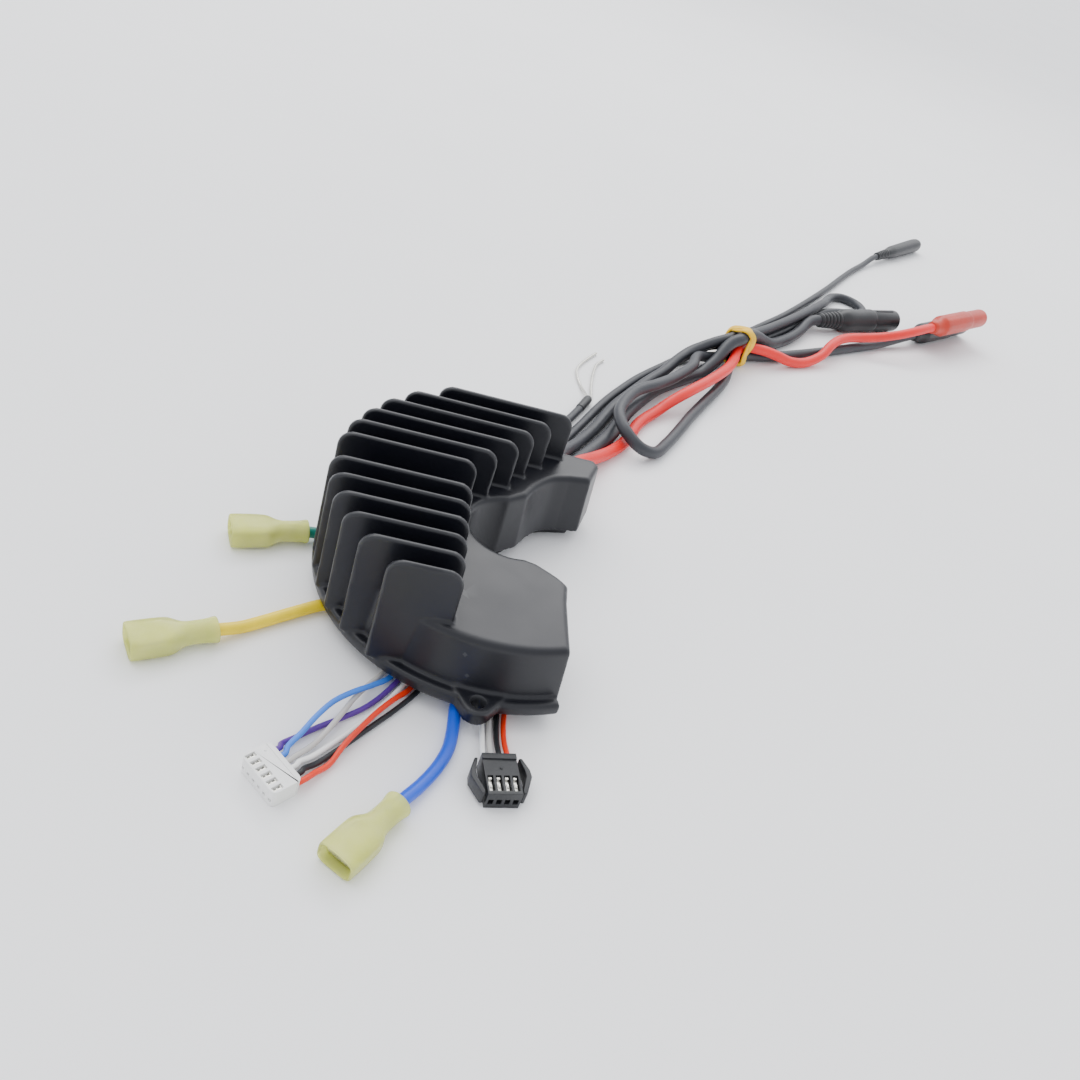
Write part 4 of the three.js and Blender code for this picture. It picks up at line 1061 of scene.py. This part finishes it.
def speed_end(matrix):
    profile = [(0, 1.65)] + ribbed(0.3, 13.8, 2.3, 2.75, 7)
    profile += [
        (14.6, 2.6), (16.5, 2.9), (19.0, 3.5), (22, 3.75), (30, 3.85), (40, 4.0), (50, 4.1),
        (54, 4.08), (57, 3.85), (59, 3.3), (60.3, 2.4), (61, 1.0),
    ]
    piece = turned("speed_plug", profile, matrix, 48)
    keep_sharp(piece, 60)
    return [shown(piece, "black", stands_for=["speed_sensor_plug"])]


RED_PLACE = place(214.0, 256.3, 13.6, 40.4)
BLACK_PLACE = place(209.6, 261.5, 5.3, 40.4)
DISPLAY_PLACE = place(153.7, 245.9, 5.7, 29)
SPEED_PLACE = place(217.9, 367.9, 4.2, 48.2)

red_end = bullet("bullet_red", "orange", "shrunk_red", RED_PLACE, "battery_bullet_red")
black_end = bullet("bullet_black", "black", "black", BLACK_PLACE, "battery_bullet_black")
free_cord("battery_lead_black", BLACK_LEAD, POWER_WIRE, black_end)
free_cord("battery_lead_red", RED_LEAD, POWER_WIRE, red_end)
free_cord("display_cable", DISPLAY_LEAD, DISPLAY_CABLE, display_end(DISPLAY_PLACE))
free_cord("speed_sensor_cable", SPEED_LEAD, THIN_CABLE, speed_end(SPEED_PLACE))

TIP_PROFILE = [  # along and radius, low enough to lie on the table
    (-9, 1.56), (-8.4, 1.64), (-6, 1.67), (-3, 1.7), (-1.2, 1.7), (0.4, 1.6), (1.2, 1.2),
    (1.4, 0.5),
]
light_tip = shown(turned("light_tip", TIP_PROFILE, place(33.4, 119.5, 1.75, 67.3)), "black")
free_cord("light_cable", LIGHT_LEAD, LIGHT_CABLE, [light_tip])
for k, route in enumerate(LIGHT_CONDUCTORS):
    free_cord(f"light_conductor_{k + 1}", route, LIGHT_CONDUCTOR, [])


# ---- Rubber band --------------------------------------------------------------------------------
BAND_AROUND = [  # the six passes of lead inside the band: across, height and radius
    (-3.1, 7.7, 1.6), (-2.4, 11.6, 2.2), (-2.2, 3.7, 2.2), (2.3, 13.4, 2.6), (2.8, 8.2, 2.2),
    (2.5, 3.6, 2.2),
]
BAND_SLACK = 0.75  # from the leads to the band's middle line
BAND_WIND = 2  # full turns of the two strands round each other


def band_loop(count=160):
    """Places round the leads, pulled tight, each with its outward direction, in X and Z."""
    spots = []
    for n in range(361):
        a = math.radians(n)
        reach = max(BAND_AROUND, key=lambda c: c[0] * math.cos(a) + c[1] * math.sin(a) + c[2])
        far = reach[2] + BAND_SLACK
        spots.append((reach[0] + far * math.cos(a), reach[1] + far * math.sin(a), a))
    lengths = [0.0]
    for a, b in zip(spots, spots[1:]):
        lengths.append(lengths[-1] + math.hypot(b[0] - a[0], b[1] - a[1]))
    made = []
    for n in range(count):
        far = lengths[-1] * n / count
        made.append([np.interp(far, lengths, [s[i] for s in spots]) for i in range(3)])
    return made


def band_strand(name, phase):
    """One flat strand of the band, winding round its partner."""
    rings = []
    spots = band_loop()
    for n, (x, z, facing) in enumerate(spots):
        wind = 2 * math.pi * BAND_WIND * n / len(spots) + phase
        aside = 1.55 * math.cos(wind)
        out = 0.5 * math.sin(wind)
        tilt = 0.35 * math.sin(wind)
        ring = []
        for k in range(20):
            a = 2 * math.pi * k / 20
            wide = 1.55 * math.copysign(abs(math.cos(a)) ** 0.6, math.cos(a))
            thick = 0.62 * math.copysign(abs(math.sin(a)) ** 0.6, math.sin(a))
            across = aside + wide * math.cos(tilt) - thick * math.sin(tilt)
            away = out + wide * math.sin(tilt) + thick * math.cos(tilt)
            ring.append((x + away * math.cos(facing), across, z + away * math.sin(facing)))
        rings.append(ring)
    return piece_from(name, *skin(rings, "looped"), place(*BAND_PLACE, 0, BUNDLE_TURN - 90))


shown(band_strand("band_strand_1", 0.0), "band", stands_for=["rubber_band"])
shown(band_strand("band_strand_2", math.pi), "band", stands_for=["rubber_band"])


# ---- Stage --------------------------------------------------------------------------------------
FLOOR_DROP = 0.05  # millimetres below the part, so that nothing rests exactly on the floor
FLOOR_HALF = 40000


def floor():
    half = FLOOR_HALF
    sides = ((-half, -half), (half, -half), (half, half), (-half, half))
    corners = [(x, y, -FLOOR_DROP) for x, y in sides]
    piece = piece_from("floor", corners, [(0, 1, 2, 3)])
    made = Nodes("floor_paper")
    grain = made.noise(700.0, 4.0)
    clouds = made.noise(9.0, 2.0)
    tint = made.spread(clouds, 0.0, 1.0)
    colour = made.mix(tint, (0.9, 0.9, 0.905), (0.92, 0.92, 0.92))
    made.join(colour, made.shader.inputs["Base Color"])
    made.join(made.spread(grain, 0.75, 0.9), made.shader.inputs["Roughness"])
    made.join(made.bump(grain, 0.02 * MM, 0.3), made.shader.inputs["Normal"])
    made.shader.inputs["Specular IOR Level"].default_value = 0.2
    piece.data.materials.append(made.material)


def lamp(name, spot, aim, size, watts):
    """A soft box at `spot` that shines at `aim`."""
    data = bpy.data.lights.new(name, "AREA")
    data.shape = "RECTANGLE"
    data.size, data.size_y = size
    data.energy = watts
    hang(name, data, Vector(spot), Vector(aim))


def sky_lamp(name, direction, spread, strength):
    """An even light from far away, with soft shadows."""
    data = bpy.data.lights.new(name, "SUN")
    data.angle = math.radians(spread)
    data.energy = strength
    hang(name, data, Vector(direction), Vector((0, 0, 0)))


def hang(name, data, spot, aim):
    holder = bpy.data.objects.new(name, data)
    holder.location = spot
    holder.rotation_euler = (spot - aim).to_track_quat("Z", "Y").to_euler()
    bpy.context.scene.collection.objects.link(holder)


floor()
sky_lamp("key", (-0.5, 0.35, 1.0), 50, 1.5)
sky_lamp("back", (0.5, 0.9, 0.9), 60, 0.9)
lamp("edge", (0.05, 0.9, 0.75), (0.0, 0.0, 0.02), (0.9, 0.25), 5.0)

world = bpy.data.worlds.new("room")
world.use_nodes = True
background = world.node_tree.nodes["Background"]
background.inputs["Color"].default_value = (0.93, 0.95, 1.0, 1.0)
background.inputs["Strength"].default_value = 1.4
bpy.context.scene.world = world
